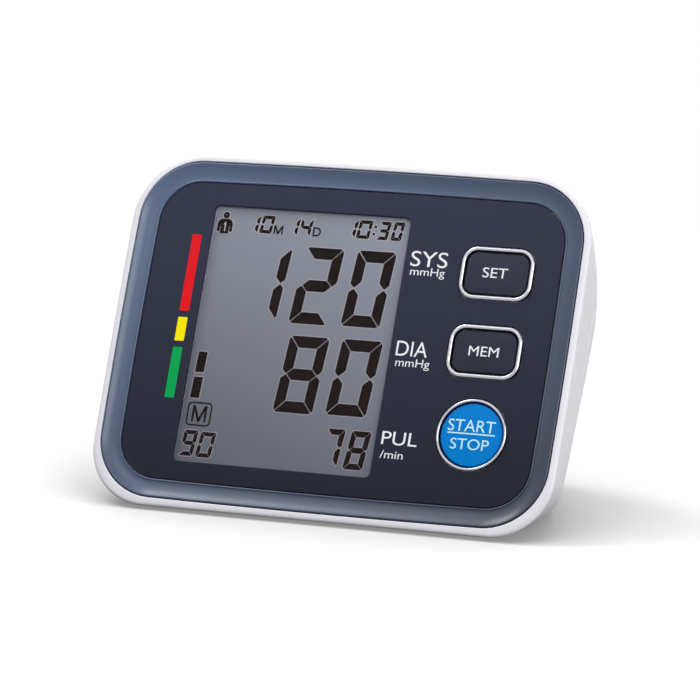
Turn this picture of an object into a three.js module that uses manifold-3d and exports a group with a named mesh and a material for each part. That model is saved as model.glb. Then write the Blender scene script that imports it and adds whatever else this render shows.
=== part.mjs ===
// Tabletop blood pressure monitor: a wedge-shaped housing with a tilted face, a display, three
// push buttons, the air pump, valve and sensor behind them, and four cells under a hinged door.
// Millimetres, +Z up, the face looks to -Y.
import * as THREE from 'three';
import { mergeVertices } from 'three/addons/utils/BufferGeometryUtils.js';
import Module from 'manifold-3d';

const wasm = await Module();
wasm.setup();

// Fits and cuts
const gap = 0.3;
const overrun = 3;

// Housing: its face and its wedge; the heel is the round rear end of the base
const faceHeight = 104;
const topCornerRadius = 19.5;
const bottomCornerRadius = 17.3;
const faceBow = 0.6;
const faceTilt = THREE.MathUtils.degToRad(64.33);
const edgeRounding = 1;
const sideCurveRadius = 70;
const heelRadius = 8;
const heelSetback = 0.37;
const sideLeanShare = 0.108;
const topTaperShare = 0.15;
const bottomTaperShare = 0.4;
const largestCornerShare = 0.98;
const smallestCorner = 3;
const wall = 2.2;
const partingDepth = 13;
const lipWidth = 2;

// Trim ring and dark panel on the face
const bezelWidth = 5.4;
const bezelFall = 1.5;
const bezelEdgeRadius = 0.35;
const bezelCornerRadius = 17;
const panelThickness = 1.2;
const frontPlateThickness = 2;

// Panel from left to right: margin, window, column of words, keys, margin
const panelLeftMargin = 16.95;
const windowWidth = 59.9;
const wordColumnWidth = 17.1;
const keyRingWidth = 21.5;
const panelRightMargin = 8.15;
const panelTopMargin = 7;
const panelBottomMargin = 6.2;

// Display
const windowCornerRadius = 1.5;
const windowThickness = 0.8;
const glassMargin = 1.5;
const glassThickness = 2;
const displayFrameMargin = 1.8;
const displayFrameThickness = 2;
const connectorEndInset = 4.95;
const connectorWidth = 2.4;

// Buttons
const setButtonY = 22.7;
const memButtonY = 0.15;
const startButtonY = -23.6;
const keyRingHeight = 15.2;
const keyRingCorner = 4.7;
const keyRingRim = 1.4;
const startRingRadius = 10.2;
const startRingRim = 1;
const ringRise = 0.7;
const capRise = 0.2;
const capCrown = 0.35;
const buttonTravel = 0.7;
const flangeWidth = 1;
const flangeThickness = 1;

// Circuit board and what it carries
const boardThickness = 1.6;
const boardSideGap = 2.9;
const boardTopGap = 2.5;
const boardBottomMargin = 1.4;
const boardCornerRadius = 2.2;
const switchSize = 6;
const switchBodyHeight = 3.1;
const switchHeight = 4;
const switchPlungerRadius = 1.75;
const chipSize = 12;
const chipHeight = 1.6;
const chipX = 2;
const chipY = 14;
const sensorWidth = 10;
const sensorHeight = 9;
const sensorDepth = 4;
const sensorSideInset = 10.6;
const sensorTopInset = 7.7;
const buzzerRadius = 6;
const buzzerDepth = 5;
const buzzerSideInset = 18.6;
const buzzerTopInset = 14.2;
const boardScrewTopInset = 5.2;
const boardScrewBottomInset = 8;
const boardScrewRadius = 1;
const boardScrewHeadRadius = 2;
const boardScrewHeadHeight = 1.2;
const boardScrewLength = 6;
const bossWall = 1.1;

// Screws that hold the two housings together
const screwUpperSideInset = 13;
const screwLowerSideInset = 14;
const screwTopInset = 25.5;
const screwBottomInset = 15.5;
const housingScrewRadius = 1.4;
const housingScrewHeadRadius = 2.6;
const housingScrewHeadHeight = 1.8;
const housingScrewLength = 9;
const housingBossDepth = 15;
const screwSeatThickness = 2;

// Battery bay in the base
const cellRadius = 5.25;
const cellLength = 44.5;
const cellNubRadius = 1.9;
const cellNubLength = 0.8;
const cellCount = 4;
const cellSpacing = 0.6;
const cellRim = 0.4;
const bayFrontY = -5;
const bayWall = 1.2;
const contactThickness = 0.4;
const contactWidth = 8;
const contactHeight = 8;
const springLength = 3.6;
const springWireRadius = 0.3;
const springBaseRadius = 3.4;
const springTopRadius = 2;
const springCurls = 3;
const doorThickness = 2;
const doorLedge = 1.4;
const doorGap = 0.4;
const fingerPocketRadius = 9;
const fingerPocketDepth = 1;
const fingerPocketReach = 5;

// Air pump, behind the board above the bay
const pumpRadius = 12;
const pumpLift = 3.2;
const pumpSetback = 0.6;
const motorLength = 30;
const motorRightX = 20;
const motorNoseRadius = 4;
const motorNoseLength = 2;
const motorTerminalRadius = 0.6;
const motorTerminalLength = 2.5;
const motorTerminalSpread = 5;
const headLength = 17;
const headCavityRadius = 9.5;
const headCavityDepth = 10;
const crankRadius = 6.5;
const crankThickness = 4;
const crankOffset = 1.8;
const crankShaftRadius = 1;
const cradleThickness = 2.4;
const cradleWidth = 19;

// Release valve
const valveWidth = 16;
const valveSize = 9.5;
const valveX = -4;
const valveLift = 5.25;
const valveSetback = 1;
const plungerRadius = 1.6;
const plungerLength = 9;
const plungerCapRadius = 3;
const plungerCapThickness = 1.2;
const plungerTravel = 1;

// Air line
const barbRadius = 1;
const barbLength = 4;
const hoseRadius = 2.1;
const hoseBore = 1.3;
const manifoldLift = 1.5;
const manifoldForward = 5.8;
const manifoldRadius = 3.4;
const manifoldReach = 4.6;
const outletDrop = 2;
const socketInset = 2.9;
const socketRadius = 6;
const socketBore = 3.15;
const socketDepth = 12;
const socketFlangeRadius = 8;
const socketFlangeThickness = 1.8;
const socketBossRadius = 9.5;
const socketBossInset = 11.1;
const socketBackThickness = 2;

// Mains adaptor inlet
const inletSideInset = 31.5;
const inletLift = 4.2;
const inletWidth = 10;
const inletSize = 11;
const inletDepth = 12;
const inletBore = 2.9;
const inletBoreDepth = 9;
const inletPinRadius = 0.9;
const inletHoleRadius = 4.4;

// Wires of the pump motor
const wireRadius = 0.6;

// Feet
const footRadius = 5;
const footHeight = 1.6;
const footProud = 1;
const footFrontSideInset = 24.5;
const footRearSideInset = 35.5;
const footFrontSetback = 5.5;
const footRearSetback = 6.9;

// Facets
const cornerSteps = 6;
const keyCornerSteps = 4;
const sectionSteps = 7;
const heelSteps = 5;
const roundSteps = 20;
const smallSteps = 10;
const wireSteps = 6;
const hoseSides = 8;
const springSides = 5;
const curlSteps = 8;

// Levels below the face plane that follow from the above
const panelTop = -bezelFall;
const panelUnderside = panelTop - panelThickness;
const frontPlateTop = panelUnderside - gap;
const frontPlateBack = frontPlateTop - frontPlateThickness;
const glassTop = frontPlateTop;
const glassBack = glassTop - glassThickness;
const displayFrameTop = glassBack - gap;
const displayFrameBack = displayFrameTop - displayFrameThickness;
const flangeTop = frontPlateBack - gap;
const flangeBack = flangeTop - flangeThickness;
const switchTop = flangeBack - buttonTravel - gap;
const boardTop = switchTop - switchHeight - gap;
const boardBack = boardTop - boardThickness;

// Face: its width is the sum of what the panel carries, and the window fills the panel's height
const faceRim = lipWidth + gap + bezelWidth;
const panelWidth = panelLeftMargin + windowWidth + wordColumnWidth + keyRingWidth + panelRightMargin;
const faceWidth = 2 * faceRim + panelWidth;
const windowHeight = faceHeight - 2 * faceRim - panelTopMargin - panelBottomMargin;
const windowCentreX = -panelWidth / 2 + panelLeftMargin + windowWidth / 2;
const windowCentreY = (panelBottomMargin - panelTopMargin) / 2;
const windowRightX = windowCentreX + windowWidth / 2;
const buttonColumnX = panelWidth / 2 - panelRightMargin - keyRingWidth / 2;

// Battery bay places that follow from the cells
const cellPitch = 2 * cellRadius + cellSpacing;
const bayHalfWidth = cellPitch * cellCount / 2 + cellRim;
const bayLength = cellLength + springLength + 2 * contactThickness + 5 * gap;
const bayRearY = bayFrontY + bayLength;
const cellHeight = doorThickness + gap + cellRadius;
const bayRoof = cellHeight + cellRadius + gap;
const doorRearY = bayRearY - doorLedge;

// Wedge: the base line rises from the face's lower edge, and the rear wall runs from its upper
// edge to the heel, whose centre stands above the rear end of the bay
const sinTilt = Math.sin(faceTilt);
const cosTilt = Math.cos(faceTilt);
const baseSlope = cosTilt / sinTilt;
const baseStretch = Math.hypot(1, baseSlope);
const faceCentreHeight = faceHeight / 2 * sinTilt + edgeRounding * cosTilt;
const heelCentreY = bayRearY - heelSetback;
const heelBackY = heelCentreY + cosTilt * faceHeight / 2 - sinTilt * edgeRounding;
const heelRun = sinTilt * heelBackY - cosTilt * heelRadius;
const heelLevel = baseSlope * heelRun + baseStretch * heelRadius - faceHeight / 2;
const heelDrop = faceHeight / 2 - heelLevel;
const heelReach = heelRun ** 2 - heelRadius ** 2;
const rearSlope = (heelDrop * heelRun - heelRadius * Math.sqrt(heelDrop ** 2 + heelReach)) / heelReach;
const rearStretch = Math.hypot(1, rearSlope);
const rearIncline = Math.PI - faceTilt - Math.atan(1 / rearSlope);
const faceFrame = new THREE.Matrix4()
  .makeTranslation(0, 0, faceCentreHeight)
  .multiply(new THREE.Matrix4().makeRotationX(faceTilt));

// Circuit board: it reaches from the rear wall's slope to below the start switch
const housingScrewUpperX = faceWidth / 2 - screwUpperSideInset;
const housingScrewLowerX = faceWidth / 2 - screwLowerSideInset;
const housingScrewUpperY = faceHeight / 2 - screwTopInset;
const housingScrewLowerY = screwBottomInset - faceHeight / 2;
const wellRadius = housingScrewHeadRadius + gap;
const boardHalfWidth = housingScrewLowerX - wellRadius - bossWall - boardSideGap;
const slopeAtBoard = rearSlope * (-boardBack - edgeRounding) + rearStretch * wall;
const boardTopY = faceHeight / 2 - slopeAtBoard - boardTopGap;
const connectorY = boardTopY - connectorWidth / 2 - gap;
const boardBottomY = startButtonY - switchSize / 2 - boardBottomMargin;
const boardScrewX = windowRightX + wordColumnWidth / 2;
const boardScrewUpperY = boardTopY - boardScrewTopInset;
const boardScrewLowerY = boardBottomY + boardScrewBottomInset;
const sensorX = sensorSideInset - boardHalfWidth;
const sensorY = boardTopY - sensorTopInset;
const buzzerX = boardHalfWidth - buzzerSideInset;
const buzzerY = boardTopY - buzzerTopInset;

// Outside of the rear wall, at a height above the base
function rearWallY(height) {
  const topHeight = faceCentreHeight + faceHeight / 2 * sinTilt - edgeRounding * cosTilt;
  const run = (topHeight - height) / (rearSlope * sinTilt + cosTilt);
  return (faceHeight / 2 - rearSlope * run) * cosTilt + (run + edgeRounding) * sinTilt;
}

// Middle of the space between the circuit board and the rear wall, at a height above the base
function middleY(height) {
  const up = (height - faceCentreHeight - boardBack * cosTilt) / sinTilt;
  const boardY = up * cosTilt - boardBack * sinTilt;
  return (boardY + rearWallY(height)) / 2;
}

// What stands in that space
const pumpAxisHeight = bayRoof + bayWall + pumpLift + pumpRadius;
const pumpAxisY = middleY(pumpAxisHeight) + pumpSetback;
const valveHeight = pumpAxisHeight + pumpRadius + valveLift + valveSize / 2;
const valveY = middleY(valveHeight) + valveSetback;
const manifoldX = sensorX;
const manifoldHeight = pumpAxisHeight + pumpRadius + manifoldLift;
const manifoldY = middleY(manifoldHeight) - manifoldForward;
const socketOuterX = socketInset - faceWidth / 2;
const socketBossX = socketBossInset - faceWidth / 2;
const inletX = faceWidth / 2 - inletSideInset;
const inletHeight = bayRoof + bayWall + inletLift + inletSize / 2;
const inletTopHeight = inletHeight + inletSize / 2;
const inletRearY = rearWallY(inletTopHeight) - (wall + gap) / Math.sin(rearIncline) - faceBow;

function material(color, roughness, metalness = 0) {
  return new THREE.MeshStandardMaterial({ color, roughness, metalness });
}

const whitePlastic = material(0xe6e6ec, 0.42);
const trimPlastic = material(0x58677a, 0.35);
const panelPlastic = material(0x353a4a, 0.4);
const clearPlastic = material(0xdfe6ea, 0.08);
const displayGlass = material(0x94969c, 0.25);
const naturalPlastic = material(0xd8d6cc, 0.5);
const blackPlastic = material(0x1c1d20, 0.45);
const bluePlastic = material(0x1473c8, 0.35);
const chrome = material(0xe2e4e8, 0.12, 1);
const boardLaminate = material(0x1f6a3c, 0.5);
const steel = material(0xb9bcc0, 0.3, 1);
const brass = material(0xc9a557, 0.3, 1);
const rubber = material(0x3a3b3e, 0.8);
const silicone = material(0xd9dcd8, 0.55);
const cellWrap = material(0x2f6f58, 0.35);
const redWire = material(0xc02624, 0.5);
const blackWire = material(0x222222, 0.5);

function toSolid(geometry) {
  const bare = geometry.clone();
  bare.deleteAttribute('normal');
  bare.deleteAttribute('uv');
  const welded = mergeVertices(bare);
  const triVerts = new Uint32Array(welded.index.array);
  const vertProperties = new Float32Array(welded.attributes.position.array);
  return new wasm.Manifold(new wasm.Mesh({ numProp: 3, vertProperties, triVerts }));
}

function toGeometry(solid) {
  const mesh = solid.getMesh();
  const geometry = new THREE.BufferGeometry();
  geometry.setAttribute('position', new THREE.BufferAttribute(new Float32Array(mesh.vertProperties), 3));
  geometry.setIndex(new THREE.BufferAttribute(new Uint32Array(mesh.triVerts), 1));
  return geometry;
}

function join(...geometries) {
  const solids = geometries.map(toSolid);
  return toGeometry(solids.reduce((sum, solid) => sum.add(solid)));
}

function cut(geometry, ...tools) {
  const solids = tools.map(toSolid);
  return toGeometry(solids.reduce((rest, tool) => rest.subtract(tool), toSolid(geometry)));
}

function overlap(geometry, other) {
  return toGeometry(toSolid(geometry).intersect(toSolid(other)));
}

// Rounded rectangle, counter-clockwise, with sides that swell by bow at their middle
function roundedOutline(halfWidth, halfHeight, radius, steps = cornerSteps, bow = 0) {
  const points = [];
  const corners = [[1, 1, 0], [-1, 1, 1], [-1, -1, 2], [1, -1, 3]];
  for (const [signX, signY, quarter] of corners) {
    for (let step = 0; step <= steps; step++) {
      const angle = (quarter + step / steps) * Math.PI / 2;
      const x = signX * (halfWidth - radius) + radius * Math.cos(angle);
      const y = signY * (halfHeight - radius) + radius * Math.sin(angle);
      points.push(new THREE.Vector2(x, y));
    }
    const last = points[points.length - 1];
    if (quarter % 2 === 0) {
      points.push(new THREE.Vector2(0, last.y));
    } else {
      points.push(new THREE.Vector2(last.x, 0));
    }
  }
  return points.map(({ x, y }) => new THREE.Vector2(
    x - Math.sign(x) * bow * (y / halfHeight) ** 2,
    y - Math.sign(y) * bow * (x / halfWidth) ** 2,
  ));
}

function circleOutline(radius, steps = roundSteps) {
  const points = [];
  for (let step = 0; step < steps; step++) {
    const angle = step / steps * 2 * Math.PI;
    points.push(new THREE.Vector2(radius * Math.cos(angle), radius * Math.sin(angle)));
  }
  return points;
}

function shifted(outline, x, y) {
  return outline.map((point) => new THREE.Vector2(point.x + x, point.y + y));
}

function plate(outline, lowZ, highZ, holes = []) {
  const shape = new THREE.Shape(outline);
  shape.holes = holes.map((hole) => new THREE.Path(hole));
  const geometry = new THREE.ExtrudeGeometry(shape, { depth: highZ - lowZ, bevelEnabled: false });
  return geometry.translate(0, 0, lowZ);
}

// Closed skin over rings of points; each ring has as many points as the next
function skin(rings, closedLoop = false) {
  const count = rings[0].length;
  const positions = rings.flat().flatMap((point) => [point.x, point.y, point.z]);
  const triangles = [];
  const bands = closedLoop ? rings.length : rings.length - 1;
  for (let band = 0; band < bands; band++) {
    const next = (band + 1) % rings.length;
    for (let point = 0; point < count; point++) {
      const beside = (point + 1) % count;
      const a = band * count + point;
      const b = band * count + beside;
      const c = next * count + beside;
      const d = next * count + point;
      triangles.push(a, b, c, a, c, d);
    }
  }
  if (!closedLoop) {
    addCap(positions, triangles, 0, count, true);
    addCap(positions, triangles, (rings.length - 1) * count, count, false);
  }
  const geometry = new THREE.BufferGeometry();
  geometry.setAttribute('position', new THREE.Float32BufferAttribute(positions, 3));
  geometry.setIndex(triangles);
  return geometry;
}

function addCap(positions, triangles, start, count, turned) {
  const centre = new THREE.Vector3();
  for (let point = 0; point < count; point++) {
    const at = (start + point) * 3;
    centre.add(new THREE.Vector3(positions[at], positions[at + 1], positions[at + 2]));
  }
  centre.divideScalar(count);
  const hub = positions.length / 3;
  positions.push(centre.x, centre.y, centre.z);
  for (let point = 0; point < count; point++) {
    const here = start + point;
    const beside = start + (point + 1) % count;
    if (turned) {
      triangles.push(hub, beside, here);
    } else {
      triangles.push(hub, here, beside);
    }
  }
}

function ringAt(outline, z) {
  return outline.map((point) => new THREE.Vector3(point.x, point.y, z));
}

function rod(radius, lowZ, highZ, steps = smallSteps) {
  return plate(circleOutline(radius, steps), lowZ, highZ);
}

function copies(geometry, places) {
  return places.map(([x, y]) => geometry.clone().translate(x, y, 0));
}

function block(lowX, highX, lowY, highY, lowZ, highZ) {
  const geometry = new THREE.BoxGeometry(highX - lowX, highY - lowY, highZ - lowZ);
  return geometry.translate((lowX + highX) / 2, (lowY + highY) / 2, (lowZ + highZ) / 2);
}

// A turned piece about the X axis, from points of radius and x, walked with the metal on the left
function turnedAlongX(profile, steps = roundSteps) {
  const points = profile.map(([radius, x]) => new THREE.Vector2(radius, x));
  return new THREE.LatheGeometry(points, steps).rotateZ(-Math.PI / 2);
}

function levelRod(radius, lowX, highX, steps = smallSteps) {
  return turnedAlongX([[0, lowX], [radius, lowX], [radius, highX], [0, highX]], steps);
}

// One cross section of the wedge, parallel to the face, drawn in from the surface by inset
function bodyOutline(depth, inset) {
  const run = Math.max(0, depth - edgeRounding);
  const shallow = Math.max(0, edgeRounding - depth);
  const rounding = edgeRounding - Math.sqrt(edgeRounding ** 2 - shallow ** 2);
  const sideSlope = run / sideCurveRadius;
  const sideInset = inset * Math.hypot(1, sideSlope) + rounding;
  const halfWidth = faceWidth / 2 - run ** 2 / (2 * sideCurveRadius) - sideInset;
  const heel = heelRadius - inset;
  const heelRise = Math.sqrt(Math.max(0, heel ** 2 - (run - heelRun) ** 2));
  let top = faceHeight / 2 - rearSlope * run - inset * rearStretch - rounding;
  if (run > heelRun + heel * rearSlope / rearStretch) {
    top = heelLevel + heelRise;
  }
  let bottom = -faceHeight / 2 + baseSlope * run + inset * baseStretch + rounding;
  if (run > heelRun + heel * baseSlope / baseStretch) {
    bottom = heelLevel - heelRise;
  }
  const largest = (top - bottom) / 2 * largestCornerShare;
  const topRadius = topCornerRadius - topTaperShare * run - inset;
  const bottomRadius = bottomCornerRadius - bottomTaperShare * run - inset;
  const topCorner = Math.min(largest, Math.max(smallestCorner, topRadius));
  const bottomCorner = Math.min(largest, Math.max(smallestCorner, bottomRadius));
  return wedgeSection({ run, halfWidth, top, bottom, topCorner, bottomCorner });
}

function wedgeSection({ run, halfWidth, top, bottom, topCorner, bottomCorner }) {
  const points = [];
  const corners = [
    [1, top, topCorner, 1, 0],
    [-1, top, topCorner, 1, 1],
    [-1, bottom, bottomCorner, -1, 2],
    [1, bottom, bottomCorner, -1, 3],
  ];
  for (const [signX, edge, radius, signY, quarter] of corners) {
    for (let step = 0; step <= cornerSteps; step++) {
      const angle = (quarter + step / cornerSteps) * Math.PI / 2;
      const x = signX * (halfWidth - radius) + radius * Math.cos(angle);
      const y = edge - signY * radius + radius * Math.sin(angle);
      points.push(new THREE.Vector2(x, y));
    }
    if (quarter % 2 === 0) {
      points.push(new THREE.Vector2(0, edge));
    } else {
      points.push(new THREE.Vector2(signX * halfWidth, (top + bottom) / 2));
    }
  }
  const middle = (top + bottom) / 2;
  const halfSpan = (top - bottom) / 2;
  for (const point of points) {
    const across = point.x / halfWidth;
    const up = (point.y - middle) / halfSpan;
    const lean = sideLeanShare * run * point.y / (faceHeight / 2);
    point.x += Math.sign(point.x) * (lean - faceBow * up ** 2);
    point.y -= up > 0 ? faceBow * across ** 2 : 0;
  }
  return points;
}

// The wedge between two depths behind the face plane
function bodySolid(inset, nearDepth, farDepth) {
  const depths = [];
  for (const share of [0, 0.3, 1]) {
    depths.push(edgeRounding * share);
  }
  const heelDepth = edgeRounding + heelRun + (heelRadius - inset) * baseSlope / baseStretch;
  for (let step = 1; step <= sectionSteps; step++) {
    depths.push(edgeRounding + (heelDepth - edgeRounding) * step / sectionSteps);
  }
  const lastDepth = edgeRounding + heelRun + heelRadius - inset;
  for (let step = 1; step <= heelSteps; step++) {
    const share = Math.sin(step / heelSteps * Math.PI / 2 * 0.93);
    depths.push(heelDepth + (lastDepth - heelDepth) * share);
  }
  const inside = depths.filter((depth) => depth > nearDepth && depth < farDepth);
  const chosen = [nearDepth, ...inside];
  if (farDepth < depths[depths.length - 1]) {
    chosen.push(farDepth);
  }
  const rings = chosen.map((depth) => ringAt(bodyOutline(depth, inset), -depth));
  return skin(rings.reverse());
}

const farBehind = faceHeight;
const bezelHalfWidth = faceWidth / 2 - lipWidth - gap;
const bezelHalfHeight = faceHeight / 2 - lipWidth - gap;

function bezelOutline(inset) {
  const radius = bezelCornerRadius - inset;
  return roundedOutline(bezelHalfWidth - inset, bezelHalfHeight - inset, radius, cornerSteps, faceBow);
}

function keyOutline(grow) {
  const halfWidth = keyRingWidth / 2 + grow;
  const halfHeight = keyRingHeight / 2 + grow;
  return roundedOutline(halfWidth, halfHeight, keyRingCorner + grow, keyCornerSteps);
}

function startOutline(grow) {
  return circleOutline(startRingRadius + grow);
}

const buttons = [
  { name: 'set', y: setButtonY, outline: keyOutline, rim: keyRingRim, plastic: panelPlastic },
  { name: 'mem', y: memButtonY, outline: keyOutline, rim: keyRingRim, plastic: panelPlastic },
  { name: 'start', y: startButtonY, outline: startOutline, rim: startRingRim, plastic: bluePlastic },
];

function windowOutline(grow) {
  const halfWidth = windowWidth / 2 + grow;
  const halfHeight = windowHeight / 2 + grow;
  const outline = roundedOutline(halfWidth, halfHeight, windowCornerRadius + Math.max(0, grow), 2);
  return shifted(outline, windowCentreX, windowCentreY);
}

const housingScrews = [
  [housingScrewUpperX, housingScrewUpperY],
  [-housingScrewUpperX, housingScrewUpperY],
  [housingScrewLowerX, housingScrewLowerY],
  [-housingScrewLowerX, housingScrewLowerY],
];
const boardScrews = [
  [boardScrewX, boardScrewUpperY],
  [boardScrewX, boardScrewLowerY],
];
const housingBossRadius = housingScrewRadius + gap + bossWall;
const boardBossRadius = boardScrewRadius + gap + bossWall;

function frontHousing() {
  const outside = bodySolid(0, 0, partingDepth);
  const cavity = bodySolid(wall, -frontPlateBack, partingDepth + overrun);
  const pocket = plate(bezelOutline(-gap), frontPlateTop, overrun);
  const glassHole = plate(windowOutline(glassMargin + gap), frontPlateBack - overrun, overrun);
  const buttonHoles = buttons.map(({ y, outline, rim }) => plate(
    shifted(outline(gap - rim), buttonColumnX, y), frontPlateBack - overrun, overrun));
  const boss = rod(housingBossRadius, -housingBossDepth, frontPlateTop - gap);
  const boardBoss = rod(boardBossRadius, boardTop + gap, frontPlateTop - gap);
  const pilot = rod(housingScrewRadius + gap, -housingBossDepth - overrun, frontPlateBack - gap);
  const boardPilot = rod(boardScrewRadius + gap, boardTop - overrun, frontPlateBack - gap);
  const shell = cut(outside, cavity, pocket);
  const bossed = join(shell, ...copies(boss, housingScrews), ...copies(boardBoss, boardScrews));
  const pilots = [...copies(pilot, housingScrews), ...copies(boardPilot, boardScrews)];
  return cut(bossed, glassHole, ...buttonHoles, ...pilots);
}

// Trim ring: an upright edge, a small rounding, then a hollow slope down to the panel
function trimBezel() {
  const slopeShares = [[0.3, 0.42], [0.62, 0.76], [0.9, 0.98]];
  const profile = [
    [0, panelUnderside],
    [0, -bezelEdgeRadius],
    [bezelEdgeRadius * 0.3, -bezelEdgeRadius * 0.3],
    [bezelEdgeRadius, 0],
    ...slopeShares.map(([across, down]) => [bezelWidth * across, panelTop * down]),
    [bezelWidth, panelTop],
    [bezelWidth, panelUnderside],
  ];
  return skin(profile.map(([inset, z]) => ringAt(bezelOutline(inset), z)), true);
}

function facePanel() {
  const holes = buttons.map(({ y, outline }) => shifted(outline(gap), buttonColumnX, y));
  holes.push(windowOutline(0));
  return plate(bezelOutline(bezelWidth + gap), panelUnderside, panelTop, holes);
}

function displayWindow() {
  return plate(windowOutline(-gap), panelUnderside, panelUnderside + windowThickness);
}

function displayGlassPlate() {
  return plate(windowOutline(glassMargin), glassBack, glassTop);
}

function displayFrame() {
  const margin = glassMargin + displayFrameMargin;
  const slot = roundedOutline(windowWidth / 2 - connectorEndInset + gap, connectorWidth / 2 + gap, gap, 2);
  const back = plate(windowOutline(margin), displayFrameBack, displayFrameTop,
    [shifted(slot, windowCentreX, connectorY)]);
  const legX = windowWidth / 2 - switchSize;
  const leg = rod(displayFrameMargin, boardTop + gap, displayFrameTop - gap);
  const legPlaces = [-legX, legX].map((x) => [windowCentreX + x, windowCentreY]);
  return join(back, ...copies(leg, legPlaces));
}

function displayConnector() {
  const halfLength = windowWidth / 2 - connectorEndInset;
  const halfWidth = connectorWidth / 2;
  return block(windowCentreX - halfLength, windowCentreX + halfLength,
    connectorY - halfWidth, connectorY + halfWidth, boardTop + gap, glassBack - gap);
}

function mainBoard() {
  const holes = boardScrews.map(([x, y]) => shifted(circleOutline(boardScrewRadius + gap, smallSteps), x, y));
  const outline = roundedOutline(boardHalfWidth, (boardTopY - boardBottomY) / 2, boardCornerRadius, 2);
  return plate(shifted(outline, 0, (boardTopY + boardBottomY) / 2), boardBack, boardTop, holes);
}

function ringOf({ outline, rim }) {
  const profile = [
    [0, panelUnderside],
    [0, panelTop + ringRise * 0.5],
    [-rim * 0.3, panelTop + ringRise],
    [-rim * 0.7, panelTop + ringRise],
    [-rim, panelTop + ringRise * 0.5],
    [-rim, panelUnderside],
  ];
  return skin(profile.map(([grow, z]) => ringAt(outline(grow), z)), true);
}

function buttonOf({ outline, rim }) {
  const side = -rim - gap;
  const crownTop = panelTop + capRise + capCrown;
  const profile = [
    [side + flangeWidth + gap, flangeBack],
    [side + flangeWidth + gap, flangeTop],
    [side, flangeTop],
    [side, panelTop + capRise],
    [side - capCrown, panelTop + capRise + capCrown * 0.6],
    [side - capCrown * 6, crownTop],
  ];
  return skin(profile.map(([grow, z]) => ringAt(outline(grow), z)));
}

function tactSwitch() {
  const half = switchSize / 2;
  const bodyLow = boardTop + gap;
  const body = block(-half, half, -half, half, bodyLow, bodyLow + switchBodyHeight);
  return join(body, rod(switchPlungerRadius, bodyLow + switchBodyHeight / 2, switchTop));
}

function panHeadScrew(radius, length, headRadius, headHeight) {
  const profile = [
    [0, 0],
    [headRadius * 0.8, 0],
    [headRadius, headHeight * 0.4],
    [headRadius, headHeight],
    [radius, headHeight],
    [radius, headHeight + length],
    [0, headHeight + length],
  ];
  const points = profile.map(([r, z]) => new THREE.Vector2(r, z));
  const screw = new THREE.LatheGeometry(points, smallSteps).rotateX(Math.PI / 2);
  const slot = block(-headRadius * 0.7, headRadius * 0.7, -headRadius * 0.12, headRadius * 0.12,
    -headHeight, headHeight * 0.5);
  const cross = slot.clone().rotateZ(Math.PI / 2);
  return cut(screw, slot, cross);
}

function pressureSensor() {
  const halfWidth = sensorWidth / 2;
  const halfHeight = sensorHeight / 2;
  const low = boardBack - gap - sensorDepth;
  const body = block(-halfWidth, halfWidth, -halfHeight, halfHeight, low, low + sensorDepth);
  const barb = rod(barbRadius, 0, barbLength + halfHeight).rotateX(Math.PI / 2);
  return join(body, barb.translate(0, 0, low + sensorDepth / 2));
}

function boardChip() {
  const half = chipSize / 2;
  const high = boardBack - gap;
  return plate(roundedOutline(half, half, half / 6, 1), high - chipHeight, high);
}

function buzzerCan() {
  const high = boardBack - gap;
  const can = rod(buzzerRadius, high - buzzerDepth, high, roundSteps);
  const sound = rod(buzzerRadius / 5, high - buzzerDepth - overrun, high - buzzerDepth / 2);
  return cut(can, sound);
}

// Pieces below are placed in the frame of the base: y backwards, z up from its underside
function toBaseFrame(geometry) {
  return geometry.clone().applyMatrix4(faceFrame);
}

const seatTop = -(housingBossDepth + gap);
const seatBack = seatTop - screwSeatThickness;

function rearHousing() {
  const hull = bodySolid(0, partingDepth + gap, farBehind);
  const hollow = bodySolid(wall, partingDepth - overrun, farBehind);
  const tongueInset = wall + gap;
  const tongueThickness = wall / 2;
  const tongueReach = wall;
  const band = bodySolid(wall / 2, partingDepth + gap, partingDepth + gap + tongueReach);
  const tongue = bodySolid(tongueInset, partingDepth + gap - tongueReach, partingDepth + 2 * gap);
  const tongueBore = bodySolid(tongueInset + tongueThickness, partingDepth - overrun - tongueReach,
    partingDepth + overrun + tongueReach);
  const lining = cut(join(band, tongue), tongueBore);
  const wells = copies(rod(wellRadius + bossWall, -farBehind, seatTop), housingScrews);
  const shell = join(cut(hull, hollow), lining, ...wells.map((well) => overlap(well, hull)));
  const wellBores = copies(rod(wellRadius, -farBehind - overrun, seatBack), housingScrews);
  const seatHole = rod(housingScrewRadius + gap, seatBack - overrun, seatTop + overrun);
  const bored = toBaseFrame(cut(shell, ...wellBores, ...copies(seatHole, housingScrews)));
  const outer = toBaseFrame(bodySolid(0, -frontPlateBack + gap, farBehind));
  const inner = toBaseFrame(bodySolid(wall / 2, partingDepth + 3 * gap, farBehind));
  const added = overlap(join(bayBlock(), ...pumpCradles()), outer);
  const socketSeat = overlap(socketBoss(), inner);
  const footHole = rod(footRadius + gap, -overrun, footHeight - footProud + gap, roundSteps);
  const filled = join(bored, added, socketSeat);
  return cut(filled, ...bayCuts(), socketHole(), inletHole(), ...copies(footHole, footPlaces));
}

function bayBlock() {
  const side = bayHalfWidth + bayWall;
  return block(-side, side, bayFrontY - bayWall, bayRearY + bayWall, wall / 2, bayRoof + bayWall);
}

function bayCuts() {
  const chamber = block(-bayHalfWidth, bayHalfWidth, bayFrontY, bayRearY, doorThickness, bayRoof);
  const mouth = block(-bayHalfWidth, bayHalfWidth, bayFrontY, doorRearY, -overrun, doorThickness + overrun);
  return [chamber, mouth, fingerPocket()];
}

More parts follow.
